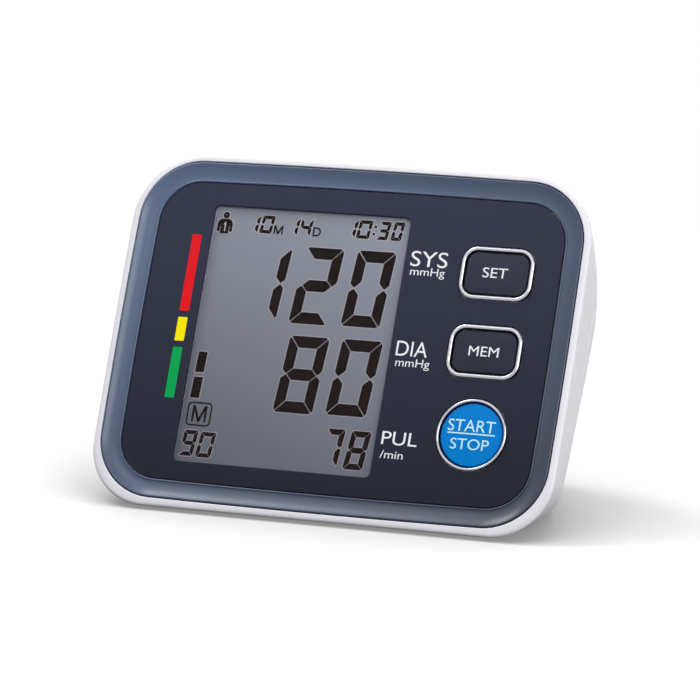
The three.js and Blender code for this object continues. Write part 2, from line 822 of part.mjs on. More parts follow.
// Shallow round hollow across the front edge of the door, for a fingertip
function fingerPocket() {
  const pocket = rod(fingerPocketRadius, -overrun, fingerPocketDepth, roundSteps);
  return pocket.translate(0, bayFrontY + fingerPocketRadius - fingerPocketReach, 0);
}

const headRightX = motorRightX - motorLength - gap;
const headLeftX = headRightX - headLength;

function pumpCradles() {
  const motorPlaces = [0.75, 0.2].map((share) => motorRightX - motorLength * share);
  const places = [headLeftX + headLength / 2, ...motorPlaces];
  const seat = levelRod(pumpRadius + gap, headLeftX - overrun, motorRightX + overrun, roundSteps);
  seat.translate(0, pumpAxisY, pumpAxisHeight);
  return places.map((x) => cut(
    block(x - cradleThickness / 2, x + cradleThickness / 2, pumpAxisY - cradleWidth / 2,
      pumpAxisY + cradleWidth / 2, bayRoof + bayWall / 2, pumpAxisHeight - pumpRadius / 3),
    seat));
}

function socketBoss() {
  const boss = levelRod(socketBossRadius, -faceWidth / 2, socketBossX, roundSteps);
  return boss.translate(0, manifoldY, manifoldHeight);
}

function socketHole() {
  const hole = levelRod(socketRadius + gap, -faceWidth / 2 - overrun, socketBossX + overrun, roundSteps);
  return hole.translate(0, manifoldY, manifoldHeight);
}

function inletHole() {
  const reach = faceHeight;
  return rod(inletHoleRadius, 0, reach, roundSteps)
    .rotateX(-Math.PI / 2)
    .translate(inletX, inletRearY - overrun, inletHeight);
}

const footFrontX = faceWidth / 2 - footFrontSideInset;
const footRearX = faceWidth / 2 - footRearSideInset;
const footPlaces = [
  [-footFrontX, bayFrontY + footFrontSetback],
  [footFrontX, bayFrontY + footFrontSetback],
  [-footRearX, bayRearY - footRearSetback],
  [footRearX, bayRearY - footRearSetback],
];

function foot() {
  const profile = [
    [0, -footProud],
    [footRadius * 0.86, -footProud],
    [footRadius, -footProud * 0.4],
    [footRadius, footHeight - footProud],
    [0, footHeight - footProud],
  ];
  const points = profile.map(([r, z]) => new THREE.Vector2(r, z));
  return new THREE.LatheGeometry(points, roundSteps).rotateX(Math.PI / 2);
}

// Door: a flat plate whose rear edge is round about the hinge line
const hingeY = doorRearY - doorGap - doorThickness / 2;
const hingeHeight = doorThickness / 2;

function batteryDoor() {
  const halfWidth = bayHalfWidth - doorGap;
  const radius = doorThickness / 2;
  const outline = [new THREE.Vector2(bayFrontY + doorGap, 0)];
  for (let step = 0; step <= smallSteps / 2; step++) {
    const angle = (step / smallSteps * 2 - 0.5) * Math.PI;
    const y = hingeY + radius * Math.cos(angle);
    outline.push(new THREE.Vector2(y, hingeHeight + radius * Math.sin(angle)));
  }
  outline.push(new THREE.Vector2(bayFrontY + doorGap, doorThickness));
  const slab = plate(outline, -halfWidth, halfWidth);
  slab.applyMatrix4(new THREE.Matrix4().set(0, 0, 1, 0, 1, 0, 0, 0, 0, 1, 0, 0, 0, 0, 0, 1));
  return cut(slab, fingerPocket());
}

function cellX(index) {
  return (index - (cellCount - 1) / 2) * cellPitch;
}

const cellFrontWithSpring = bayFrontY + 3 * gap + contactThickness + springLength;
const cellFrontPlain = bayFrontY + 2 * gap + contactThickness;

// A cell along Y; the nub end looks to the rear
function cell() {
  const bevel = cellRim;
  const shoulder = cellLength - cellNubLength;
  const profile = [
    [0, 0],
    [cellRadius - bevel, 0],
    [cellRadius, bevel],
    [cellRadius, shoulder - bevel],
    [cellRadius - bevel, shoulder],
    [cellNubRadius, shoulder],
    [cellNubRadius, cellLength],
    [0, cellLength],
  ];
  return new THREE.LatheGeometry(profile.map(([r, y]) => new THREE.Vector2(r, y)), roundSteps);
}

function springPath() {
  const low = springWireRadius;
  const high = springLength - springWireRadius;
  const points = [];
  const steps = springCurls * curlSteps;
  for (let step = 0; step <= steps; step++) {
    const share = step / steps;
    const angle = share * springCurls * 2 * Math.PI;
    const radius = springBaseRadius + (springTopRadius - springBaseRadius) * share;
    const y = low + (high - low) * share;
    points.push(new THREE.Vector3(radius * Math.cos(angle), y, radius * Math.sin(angle)));
  }
  return points;
}

function batterySpring() {
  return tubeAlong(springPath(), springWireRadius, springSides);
}

// Least space between two curls of a battery spring, wire to wire
function springClearance() {
  const points = springPath();
  let least = Infinity;
  for (let one = 0; one < points.length; one++) {
    for (let other = one + curlSteps / 2; other < points.length; other++) {
      least = Math.min(least, points[one].distanceTo(points[other]) - 2 * springWireRadius);
    }
  }
  return least;
}

// Round bar through the given points, with rings square to the path
function tubeRings(points, radius, sides) {
  const rings = [];
  let normal = null;
  for (let at = 0; at < points.length; at++) {
    const before = points[Math.max(0, at - 1)];
    const after = points[Math.min(points.length - 1, at + 1)];
    const along = after.clone().sub(before).normalize();
    const steep = Math.abs(along.z) > 0.9;
    const guess = normal ?? new THREE.Vector3(steep ? 1 : 0, 0, steep ? 0 : 1);
    normal = guess.clone().sub(along.clone().multiplyScalar(guess.dot(along))).normalize();
    const side = along.clone().cross(normal);
    const ring = [];
    for (let step = 0; step < sides; step++) {
      const angle = step / sides * 2 * Math.PI;
      ring.push(points[at].clone()
        .add(normal.clone().multiplyScalar(radius * Math.cos(angle)))
        .add(side.clone().multiplyScalar(radius * Math.sin(angle))));
    }
    rings.push(ring);
  }
  return rings;
}

function tubeAlong(points, radius, sides) {
  return skin(tubeRings(points, radius, sides));
}

// Hose with a bore that is open at both ends
function hoseAlong(points, radius, bore, sides) {
  const outside = tubeRings(points, radius, sides);
  const inside = tubeRings(points, bore, sides).reverse();
  return skin([...outside, ...inside], true);
}

// Contact plates stand against the end walls of the bay
function contactPlate(cells, y, width) {
  const centre = (cellX(cells[0]) + cellX(cells[cells.length - 1])) / 2;
  const half = (cellX(cells[cells.length - 1]) - cellX(cells[0]) + width) / 2;
  return block(centre - half, centre + half, y, y + contactThickness,
    cellHeight - contactHeight / 2, cellHeight + contactHeight / 2);
}

function pumpMotor() {
  const profile = [
    [0, 0],
    [motorNoseRadius, 0],
    [motorNoseRadius, motorNoseLength],
    [pumpRadius * 0.9, motorNoseLength],
    [pumpRadius, motorNoseLength * 1.6],
    [pumpRadius, motorLength - motorNoseLength * 0.5],
    [pumpRadius * 0.94, motorLength],
    [0, motorLength],
  ];
  const can = turnedAlongX(profile);
  const bore = levelRod(crankShaftRadius + gap, -overrun, motorLength / 3);
  const terminalEnd = motorLength + motorTerminalLength;
  const terminal = levelRod(motorTerminalRadius, motorLength - gap, terminalEnd, wireSteps);
  const terminals = [-1, 1].map((side) => terminal.clone().translate(0, 0, side * motorTerminalSpread));
  return cut(join(can, ...terminals), bore);
}

function pumpHead() {
  const drum = turnedAlongX([[0, 0], [pumpRadius * 0.86, 0], [pumpRadius, pumpRadius * 0.14],
    [pumpRadius, headLength], [0, headLength]]);
  const cavity = levelRod(headCavityRadius, headLength - headCavityDepth, headLength + overrun, roundSteps);
  const barb = levelRod(barbRadius, -barbLength, headLength / 4).translate(0, 0, -outletDrop);
  return cut(join(drum, barb), cavity);
}

// Shaft and the off-centre disc that works the diaphragms; x runs from the disc's left face
function pumpCrank() {
  const disc = levelRod(crankRadius, 0, crankThickness, roundSteps).translate(0, 0, crankOffset);
  const reach = headCavityDepth - 2 * gap + motorLength / 4;
  return join(disc, levelRod(crankShaftRadius, crankThickness / 2, reach));
}

function valveBody() {
  const half = valveSize / 2;
  const halfWidth = valveWidth / 2;
  const body = block(-halfWidth, halfWidth, -half, half, -half, half);
  const barb = levelRod(barbRadius, -halfWidth - barbLength, 0);
  const bore = levelRod(plungerRadius + gap, halfWidth - plungerLength, halfWidth + overrun);
  return cut(join(body, barb), bore);
}

function valvePlunger() {
  const start = valveWidth / 2 - plungerLength + plungerTravel + gap;
  const capAt = valveWidth / 2 + plungerTravel + gap;
  return turnedAlongX([[0, start], [plungerRadius, start], [plungerRadius, capAt], [plungerCapRadius, capAt],
    [plungerCapRadius, capAt + plungerCapThickness], [0, capAt + plungerCapThickness]], smallSteps);
}

// Cross piece of the air line: a drum with barbs to the left, right, above and below
function airManifold() {
  const reach = manifoldReach + barbLength;
  const drum = rod(manifoldRadius, -manifoldReach, manifoldReach, smallSteps)
    .rotateX(Math.PI / 2);
  const upright = rod(barbRadius, -reach, reach);
  const level = upright.clone().rotateY(Math.PI / 2);
  const collar = rod(hoseRadius, -manifoldReach, manifoldReach);
  const levelCollar = collar.clone().rotateY(Math.PI / 2);
  return join(drum, collar, levelCollar, upright, level);
}

function airSocket() {
  const bottom = socketOuterX + socketDepth;
  const back = bottom + socketBackThickness;
  const flange = socketBossX + gap;
  return turnedAlongX([
    [socketBore, socketOuterX],
    [socketRadius * 0.94, socketOuterX],
    [socketRadius, socketOuterX + socketBackThickness / 4],
    [socketRadius, flange],
    [socketFlangeRadius, flange],
    [socketFlangeRadius, flange + socketFlangeThickness],
    [socketRadius * 0.75, flange + socketFlangeThickness],
    [socketRadius * 0.75, back],
    [barbRadius, back],
    [barbRadius, back + barbLength],
    [0, back + barbLength],
    [0, bottom],
    [socketBore, bottom],
    [socketBore, socketOuterX],
  ], roundSteps);
}

function mainsInlet() {
  const halfWidth = inletWidth / 2;
  const half = inletSize / 2;
  const body = block(-halfWidth, halfWidth, -inletDepth, 0, -half, half);
  const bore = rod(inletBore, -inletBoreDepth, overrun).rotateX(-Math.PI / 2);
  const pin = rod(inletPinRadius, -inletBoreDepth - gap, -gap, smallSteps).rotateX(-Math.PI / 2);
  return join(cut(body, bore), pin);
}

function hosePoints(start, startAlong, end, endAlong) {
  const lead = barbLength;
  const from = new THREE.Vector3(...start);
  const to = new THREE.Vector3(...end);
  const outward = new THREE.Vector3(...startAlong);
  const arriving = new THREE.Vector3(...endAlong);
  const leaving = from.clone().addScaledVector(outward, lead);
  const entering = to.clone().addScaledVector(arriving, lead);
  const span = leaving.distanceTo(entering) / 3;
  const bend = new THREE.CubicBezierCurve3(leaving, leaving.clone().addScaledVector(outward, span),
    entering.clone().addScaledVector(arriving, span), entering);
  return [from, ...bend.getPoints(wireSteps), to];
}

const monitor = new THREE.Group();
const face = new THREE.Group();
face.applyMatrix4(faceFrame);
monitor.add(face);

function place(group, name, geometry, finish, x = 0, y = 0, z = 0) {
  const mesh = new THREE.Mesh(geometry, finish);
  mesh.name = name;
  mesh.position.set(x, y, z);
  group.add(mesh);
  return mesh;
}

function addFace() {
  place(face, 'front_housing', frontHousing(), whitePlastic);
  place(face, 'trim_bezel', trimBezel(), trimPlastic);
  place(face, 'face_panel', facePanel(), panelPlastic);
  place(face, 'display_window', displayWindow(), clearPlastic);
  place(face, 'display_glass', displayGlassPlate(), displayGlass);
  place(face, 'display_frame', displayFrame(), naturalPlastic);
  place(face, 'display_connector', displayConnector(), rubber);
  for (const button of buttons) {
    place(face, `${button.name}_button`, buttonOf(button), button.plastic, buttonColumnX, button.y);
    place(face, `${button.name}_button_ring`, ringOf(button), chrome, buttonColumnX, button.y);
    place(face, `${button.name}_switch`, tactSwitch(), blackPlastic, buttonColumnX, button.y);
  }
}

function addBoard() {
  place(face, 'main_board', mainBoard(), boardLaminate);
  place(face, 'controller_chip', boardChip(), blackPlastic, chipX, chipY);
  place(face, 'pressure_sensor', pressureSensor(), blackPlastic, sensorX, sensorY);
  place(face, 'buzzer', buzzerCan(), blackPlastic, buzzerX, buzzerY);
  const screw = panHeadScrew(boardScrewRadius, boardScrewLength, boardScrewHeadRadius, boardScrewHeadHeight);
  boardScrews.forEach(([x, y], index) => {
    place(face, `board_screw_${index + 1}`, screw, steel, x, y, boardBack - gap - boardScrewHeadHeight);
  });
  const long = panHeadScrew(housingScrewRadius, housingScrewLength, housingScrewHeadRadius,
    housingScrewHeadHeight);
  housingScrews.forEach(([x, y], index) => {
    place(face, `housing_screw_${index + 1}`, long, steel, x, y, seatBack - gap - housingScrewHeadHeight);
  });
}

function addBase() {
  place(monitor, 'rear_housing', rearHousing(), whitePlastic);
  place(monitor, 'battery_door', batteryDoor(), whitePlastic);
  const names = ['front_left', 'front_right', 'rear_left', 'rear_right'];
  footPlaces.forEach(([x, y], index) => {
    place(monitor, `foot_${names[index]}`, foot(), rubber, x, y);
  });
}

function addCells() {
  for (let index = 0; index < cellCount; index++) {
    const springInFront = index % 2 === 0;
    const front = springInFront ? cellFrontWithSpring : cellFrontPlain;
    const oneCell = place(monitor, `battery_cell_${index + 1}`, cell(), cellWrap,
      cellX(index), front, cellHeight);
    const frontPlate = bayFrontY + gap + contactThickness;
    const rearPlate = bayRearY - gap - contactThickness;
    const springY = springInFront ? frontPlate + gap : rearPlate - gap;
    const spring = place(monitor, `battery_spring_${index + 1}`, batterySpring(), steel,
      cellX(index), springY, cellHeight);
    if (!springInFront) {
      spring.rotation.z = Math.PI;
      oneCell.rotation.z = Math.PI;
      oneCell.position.y = front + cellLength;
    }
  }
  const frontY = bayFrontY + gap;
  const rearY = bayRearY - gap - contactThickness;
  place(monitor, 'contact_negative', contactPlate([0], frontY, contactWidth), steel);
  place(monitor, 'contact_front_link', contactPlate([1, 2], frontY, contactWidth), steel);
  place(monitor, 'contact_positive', contactPlate([3], frontY, contactWidth), steel);
  place(monitor, 'contact_rear_link_left', contactPlate([0, 1], rearY, contactWidth), steel);
  place(monitor, 'contact_rear_link_right', contactPlate([2, 3], rearY, contactWidth), steel);
}

const motorLeftX = motorRightX - motorLength;
const crankX = headRightX - headCavityDepth + 2 * gap;

function addPump() {
  place(monitor, 'pump_motor', pumpMotor(), steel, motorLeftX, pumpAxisY, pumpAxisHeight);
  place(monitor, 'pump_head', pumpHead(), naturalPlastic, headLeftX, pumpAxisY, pumpAxisHeight);
  place(monitor, 'pump_crank', pumpCrank(), brass, crankX, pumpAxisY, pumpAxisHeight);
}

function addAirLine() {
  place(monitor, 'valve_body', valveBody(), blackPlastic, valveX, valveY, valveHeight);
  place(monitor, 'valve_plunger', valvePlunger(), steel, valveX, valveY, valveHeight);
  place(monitor, 'air_manifold', airManifold(), naturalPlastic, manifoldX, manifoldY, manifoldHeight);
  place(monitor, 'air_socket', airSocket(), blackPlastic, 0, manifoldY, manifoldHeight);
  place(monitor, 'mains_inlet', mainsInlet(), blackPlastic, inletX, inletRearY, inletHeight);
  const sensorRoot = new THREE.Vector3(sensorX, sensorY - sensorHeight / 2 - gap,
    boardBack - gap - sensorDepth / 2).applyMatrix4(faceFrame);
  const downSlope = new THREE.Vector3(0, -1, 0).transformDirection(faceFrame);
  const arm = manifoldReach + gap;
  const socketEnd = socketOuterX + socketDepth + socketBackThickness + gap;
  const hoses = {
    socket_hose: hosePoints([socketEnd, manifoldY, manifoldHeight], [1, 0, 0],
      [manifoldX - arm, manifoldY, manifoldHeight], [-1, 0, 0]),
    pump_hose: hosePoints([headLeftX - gap, pumpAxisY, pumpAxisHeight - outletDrop], [-1, 0, 0],
      [manifoldX, manifoldY, manifoldHeight - arm], [0, 0, -1]),
    valve_hose: hosePoints([valveX - valveWidth / 2 - gap, valveY, valveHeight], [-1, 0, 0],
      [manifoldX + arm, manifoldY, manifoldHeight], [1, 0, 0]),
    sensor_hose: hosePoints(sensorRoot.toArray(), downSlope.toArray(),
      [manifoldX, manifoldY, manifoldHeight + arm], [0, 0, 1]),
  };
  for (const [name, points] of Object.entries(hoses)) {
    place(monitor, name, hoseAlong(points, hoseRadius, hoseBore, hoseSides), silicone);
  }
}

function addWires() {
  const landingX = motorRightX + motorTerminalLength + barbLength;
  const boardEnd = new THREE.Vector3(landingX, 0, boardBack - gap).applyMatrix4(faceFrame);
  const wires = [['pump_wire_positive', 1, redWire], ['pump_wire_negative', -1, blackWire]];
  for (const [name, side, finish] of wires) {
    const start = new THREE.Vector3(motorRightX + motorTerminalLength + gap, pumpAxisY,
      pumpAxisHeight + side * motorTerminalSpread);
    const upSlope = new THREE.Vector3(0, cosTilt, sinTilt);
    const end = boardEnd.clone().addScaledVector(upSlope, side * motorTerminalSpread);
    const backward = new THREE.Vector3(0, 0, -1).transformDirection(faceFrame);
    const path = hosePoints(start.toArray(), [1, 0, 0], end.toArray(), backward.toArray());
    place(monitor, name, tubeAlong(path, wireRadius, wireSteps), finish);
  }
}

addFace();
addBoard();
addBase();
addCells();
addPump();
addAirLine();
addWires();

// The frame's origin is on the floor under the middle of the whole object
monitor.updateMatrixWorld(true);
const bounds = new THREE.Box3().setFromObject(monitor, true);
monitor.position.set(0, -(bounds.min.y + bounds.max.y) / 2, -bounds.min.z);
console.log('battery spring, least gap between curls:', springClearance().toFixed(2));

export default monitor;
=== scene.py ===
# Tabletop blood pressure monitor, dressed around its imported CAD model.
# Each piece is drawn in millimetres and turned into metres as it is finished.
# +Z is up, and the face looks to -Y.
import bmesh
import bpy
import math
from mathutils import Matrix, Vector
from mathutils.geometry import interpolate_bezier, tessellate_polygon


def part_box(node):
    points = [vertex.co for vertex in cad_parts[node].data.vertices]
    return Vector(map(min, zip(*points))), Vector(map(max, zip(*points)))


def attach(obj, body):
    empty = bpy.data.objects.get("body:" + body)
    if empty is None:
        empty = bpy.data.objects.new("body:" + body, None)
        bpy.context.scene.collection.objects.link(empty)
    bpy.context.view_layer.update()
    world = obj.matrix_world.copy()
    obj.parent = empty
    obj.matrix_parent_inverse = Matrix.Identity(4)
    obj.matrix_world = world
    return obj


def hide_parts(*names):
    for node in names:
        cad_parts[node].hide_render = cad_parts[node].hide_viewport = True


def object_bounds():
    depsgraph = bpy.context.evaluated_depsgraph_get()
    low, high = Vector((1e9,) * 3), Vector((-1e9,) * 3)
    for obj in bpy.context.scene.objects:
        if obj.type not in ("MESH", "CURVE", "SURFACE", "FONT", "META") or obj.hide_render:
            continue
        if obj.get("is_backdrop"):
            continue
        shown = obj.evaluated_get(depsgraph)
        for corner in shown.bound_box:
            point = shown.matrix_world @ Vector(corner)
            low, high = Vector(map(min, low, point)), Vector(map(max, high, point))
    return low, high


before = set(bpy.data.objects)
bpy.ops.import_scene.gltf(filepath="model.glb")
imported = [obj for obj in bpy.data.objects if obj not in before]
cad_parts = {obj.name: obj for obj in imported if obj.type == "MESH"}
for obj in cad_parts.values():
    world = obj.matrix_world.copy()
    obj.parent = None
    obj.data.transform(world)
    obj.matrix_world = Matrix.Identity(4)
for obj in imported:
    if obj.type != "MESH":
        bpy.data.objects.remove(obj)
cadBox = [list(corner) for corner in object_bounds()]

mm = 0.001
scene = bpy.context.scene
collection = scene.collection

# Sizes that several pieces share, as in the part's source
shell = {
    "faceHeight": 104, "topCorner": 19.5, "bottomCorner": 17.3, "bow": 0.6, "fullBowSpan": 10,
    "tilt": math.radians(64.33), "rounding": 1.0, "sideCurve": 70, "heelRadius": 8,
    "heelSetback": 0.37, "heelEnd": 0.985, "sideLean": 0.108, "topTaper": 0.15, "bottomTaper": 0.4,
    "largestCorner": 0.98, "smallestCorner": 3, "wall": 2.2, "parting": 13, "lip": 2,
    "gap": 0.3, "seamRounding": 0.3, "lipRounding": 0.25,
    "cornerSteps": 14, "sideSteps": 8, "sections": 18, "heelSteps": 12, "leastStep": 0.05,
}
panel = {
    "leftMargin": 16.95, "window": 59.9, "words": 17.1, "keys": 21.5, "rightMargin": 8.15,
    "topMargin": 7, "bottomMargin": 6.2, "top": -1.5, "thickness": 1.2, "edge": 0.18,
    "bezelWidth": 5.4, "bezelCorner": 17, "bezelEdge": 0.35, "bezelBead": 0.3, "bezelHollow": 2.2,
}
bay = {"front": -5, "halfWidth": 22.6, "wall": 1.2, "door": 2, "doorGap": 0.4, "ledge": 1.4}
cell = {"radius": 5.25, "length": 44.5, "nubRadius": 1.9, "nubLength": 0.8, "rim": 0.7,
        "wrap": 0.12, "pitch": 11.1, "level": 7.55, "spring": 3.6, "plate": 0.4, "bandFrom": 33.5,
        "bandTo": 41.5}
pump = {"axisY": 26.63, "axisZ": 29.5, "radius": 12, "motorLeft": -10, "motorLength": 30,
        "headLeft": -27.3, "outletDrop": 2, "terminalSpread": 5}
pocket = {"radius": 9, "depth": 1, "reach": 4}
display = {"corner": 1.5, "window": 0.8, "glass": 2, "glassGrow": 1.5, "mouthGrow": 1.8,
           "edge": 0.1}
beyond = 200  # deeper than any section
over = 3  # how far a cutter reaches past what it cuts

gap = shell["gap"]
wall = shell["wall"]
halfFace = shell["faceHeight"] / 2
sinTilt, cosTilt = math.sin(shell["tilt"]), math.cos(shell["tilt"])
rim = shell["lip"] + gap + panel["bezelWidth"]
panelWidth = sum(panel[key] for key in ("leftMargin", "window", "words", "keys", "rightMargin"))
faceWidth = 2 * rim + panelWidth
windowHeight = shell["faceHeight"] - 2 * rim - panel["topMargin"] - panel["bottomMargin"]
windowX = -panelWidth / 2 + panel["leftMargin"] + panel["window"] / 2
windowY = (panel["bottomMargin"] - panel["topMargin"]) / 2
keysX = panelWidth / 2 - panel["rightMargin"] - panel["keys"] / 2
panelTop = panel["top"]
panelUnder = panelTop - panel["thickness"]
plateTop = panelUnder - gap
plateBack = plateTop - display["glass"]

# The underside falls to a rounded heel behind the bay, and the rear wall is its tangent
bayRear = bay["front"] + cell["length"] + cell["spring"] + 2 * cell["plate"] + 5 * gap
doorRear = bayRear - bay["ledge"]
doorFront = bay["front"] + bay["doorGap"]
baseSlope = cosTilt / sinTilt
baseStretch = math.hypot(1, baseSlope)
faceCentre = halfFace * sinTilt + shell["rounding"] * cosTilt
heelBack = bayRear - shell["heelSetback"] + cosTilt * halfFace - sinTilt * shell["rounding"]
heelRun = sinTilt * heelBack - cosTilt * shell["heelRadius"]
heelLevel = baseSlope * heelRun + baseStretch * shell["heelRadius"] - halfFace
heelDrop = halfFace - heelLevel
heelReach = heelRun ** 2 - shell["heelRadius"] ** 2
heelRoot = shell["heelRadius"] * math.sqrt(heelDrop ** 2 + heelReach)
rearSlope = (heelDrop * heelRun - heelRoot) / heelReach
rearStretch = math.hypot(1, rearSlope)

# The base frame stands on the underside; the row frame is centred, with the feet on the floor
baseOffset = Vector((0, (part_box("battery_door")[0].y / mm) - doorFront, 1.0))
baseFrame = Matrix.Translation(baseOffset * mm) @ Matrix.Scale(mm, 4)
toFaceCentre = Matrix.Translation((0, 0, faceCentre))
faceTurn = Matrix.Rotation(shell["tilt"], 4, "X")
faceFrame = baseFrame @ toFaceCentre @ faceTurn
faceToBase = toFaceCentre @ faceTurn
print("frame: base at", [round(value, 3) for value in baseOffset], "face width",
      round(faceWidth, 2))


def portBox(name):
    # corners of a CAD node's box in the base frame
    return [baseFrame.inverted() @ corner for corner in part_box(name)]


socketLow, socketHigh = portBox("air_socket")
inletLow, inletHigh = portBox("mains_inlet")
socketCentre, inletCentre = (socketLow + socketHigh) / 2, (inletLow + inletHigh) / 2

# Camera: the photograph's angle, framed as it is
lens = {"azimuth": 21.63, "elevation": 11.345, "distance": 1.2143, "focal": 222.79, "sensor": 36,
        "shiftX": 0.0161, "shiftY": -0.01404, "near": 0.05, "far": 50}


def addCamera():
    data = bpy.data.cameras.new("photoCamera")
    data.lens, data.sensor_width = lens["focal"], lens["sensor"]
    data.shift_x, data.shift_y = lens["shiftX"], lens["shiftY"]
    data.clip_start, data.clip_end = lens["near"], lens["far"]
    camera = bpy.data.objects.new("photoCamera", data)
    collection.objects.link(camera)
    azimuth, elevation = math.radians(lens["azimuth"]), math.radians(lens["elevation"])
    back = Vector((math.sin(azimuth) * math.cos(elevation),
                   -math.cos(azimuth) * math.cos(elevation), math.sin(elevation)))
    camera.location = faceFrame @ Vector((0, 0, 0)) + back * lens["distance"]
    camera.rotation_euler = (-back).to_track_quat("-Z", "Y").to_euler()
    scene.camera = camera


addCamera()
print("camera ready")


# Mesh helpers: outlines are lists of (x, y), rings are lists of (x, y, z)
def arc(x, y, reachX, reachY, first, last, steps):
    # points of an ellipse about (x, y), between two angles in quarter turns
    angles = [(first + (last - first) * step / steps) * math.pi / 2 for step in range(steps + 1)]
    return [(x + reachX * math.cos(angle), y + reachY * math.sin(angle)) for angle in angles]


def circle(radius, steps=48, centre=(0, 0)):
    return arc(*centre, radius, radius, 0, 4, steps)[:-1]


def fourCorners(halfWidth, top, bottom, topRadius, bottomRadius, steps, sideSteps):
    # counter-clockwise from the upper right, with sideSteps points on each straight side
    corners = [(1, top, topRadius, 1), (-1, top, topRadius, 1),
               (-1, bottom, bottomRadius, -1), (1, bottom, bottomRadius, -1)]
    arcs = [arc(signX * (halfWidth - radius), edge - signY * radius, radius, radius, quarter,
                quarter + 1, steps)
            for quarter, (signX, edge, radius, signY) in enumerate(corners)]
    shares = [step / (sideSteps + 1) for step in range(1, sideSteps + 1)]
    points = []
    for one, two in zip(arcs, arcs[1:] + arcs[:1]):
        (startX, startY), (endX, endY) = one[-1], two[0]
        points += one + [(startX + (endX - startX) * share, startY + (endY - startY) * share)
                         for share in shares]
    return points


def roundedOutline(halfWidth, halfHeight, radius, steps, sideSteps=0, bow=0.0, centre=(0, 0)):
    points = fourCorners(halfWidth, halfHeight, -halfHeight, radius, radius, steps, sideSteps)
    return [(x - math.copysign(bow * (y / halfHeight) ** 2, x) + centre[0],
             y - math.copysign(bow * (x / halfWidth) ** 2, y) + centre[1]) for x, y in points]


def ringAt(outline, z):
    return [(x, y, z) for x, y in outline]


def offsetLoop(points, distance, sharpest=0.35):
    # moves each corner of a counter-clockwise loop inwards
    moved = []
    for index, point in enumerate(points):
        before, here = Vector(points[index - 1]), Vector(point)
        after = Vector(points[(index + 1) % len(points)])
        if (here - before).length < 1e-9 or (after - here).length < 1e-9:
            moved.append(tuple(here))
            continue
        one, two = (here - before).normalized(), (after - here).normalized()
        normal = Vector((-one.y - two.y, one.x + two.x)).normalized()
        cosine = max(sharpest, normal.dot(Vector((-one.y, one.x))))
        moved.append(tuple(here + normal * distance / cosine))
    return moved


def recalculate(mesh):
    work = bmesh.new()
    work.from_mesh(mesh)
    bmesh.ops.remove_doubles(work, verts=work.verts, dist=1e-5)
    bmesh.ops.recalc_face_normals(work, faces=work.faces)
    work.to_mesh(mesh)
    work.free()
    mesh.update()


def newObject(name, points, faces):
    mesh = bpy.data.meshes.new(name)
    mesh.from_pydata([tuple(point) for point in points], [], faces)
    mesh.validate()
    piece = bpy.data.objects.new(name, mesh)
    collection.objects.link(piece)
    recalculate(mesh)
    return piece


def bandFaces(one, two, size):
    # quads between two rings of size points, which start at points one and two
    return [(one + at, one + (at + 1) % size, two + (at + 1) % size, two + at)
            for at in range(size)]


def skin(name, rings, closedLoop=False):
    # joins rings of one size; a closed loop of rings has no ends to cap
    count, size = len(rings), len(rings[0])
    faces = []
    for band in range(count if closedLoop else count - 1):
        faces += bandFaces(band * size, (band + 1) % count * size, size)
    if not closedLoop:
        faces += [tuple(reversed(range(size))), tuple(range((count - 1) * size, count * size))]
    return newObject(name, [point for ring in rings for point in ring], faces)


turns = {"Z": Matrix.Identity(4), "X": Matrix.Rotation(math.pi / 2, 4, "Y"),
         "Y": Matrix.Rotation(-math.pi / 2, 4, "X")}


def turned(name, profile, steps=48, axis="Z", place=(0, 0, 0)):
    # a turned piece from points of (radius, height), which starts and ends on the axis or is closed
    rings, points, faces = [], [], []
    for radius, height in profile:
        ring = [(0, 0, height)] if radius < 1e-6 else ringAt(circle(radius, steps), height)
        rings.append(range(len(points), len(points) + len(ring)))
        points += ring
    for one, two in zip(rings, rings[1:]):
        for at in range(steps):
            beside = (at + 1) % steps
            corners = [one[at % len(one)], one[beside % len(one)], two[beside % len(two)],
                       two[at % len(two)]]
            unique = tuple(dict.fromkeys(corners))
            if len(unique) > 2:
                faces.append(unique)
    piece = newObject(name, points, faces)
    piece.data.transform(Matrix.Translation(place) @ turns[axis])
    return piece


def rod(name, radius, low, high, steps=48, axis="Z", place=(0, 0, 0)):
    return turned(name, [(0, low), (radius, low), (radius, high), (0, high)], steps, axis, place)


def around(x, y, halfX, halfY, low, high):
    # the limits of a box that stands about (x, y)
    return (x - halfX, x + halfX, y - halfY, y + halfY, low, high)


boxFaces = ((3, 2, 1, 0), (4, 5, 6, 7), (0, 1, 5, 4), (1, 2, 6, 5), (2, 3, 7, 6), (3, 0, 4, 7))


def boxes(name, places):
    # several blocks in one piece
    points, faces = [], []
    for lowX, highX, lowY, highY, lowZ, highZ in places:
        faces += [tuple(len(points) + corner for corner in face) for face in boxFaces]
        points += [(x, y, z) for z in (lowZ, highZ)
                   for x, y in ((lowX, lowY), (highX, lowY), (highX, highY), (lowX, highY))]
    return newObject(name, points, faces)


def block(name, lowX, highX, lowY, highY, lowZ, highZ, edge=0.0):
    # a box, with rounded edges where edge is given
    if not edge:
        return boxes(name, [(lowX, highX, lowY, highY, lowZ, highZ)])
    halfX, halfY = (highX - lowX) / 2, (highY - lowY) / 2
    centre = ((lowX + highX) / 2, (lowY + highY) / 2)
    levels = [(edge, lowZ), (edge * 0.3, lowZ + edge * 0.3), (0, lowZ + edge),
              (0, highZ - edge), (edge * 0.3, highZ - edge * 0.3), (edge, highZ)]
    rings = []
    for inset, z in levels:
        outline = roundedOutline(halfX - inset, halfY - inset, edge, 3, centre=centre)
        rings.append(ringAt(outline, z))
    return skin(name, rings)


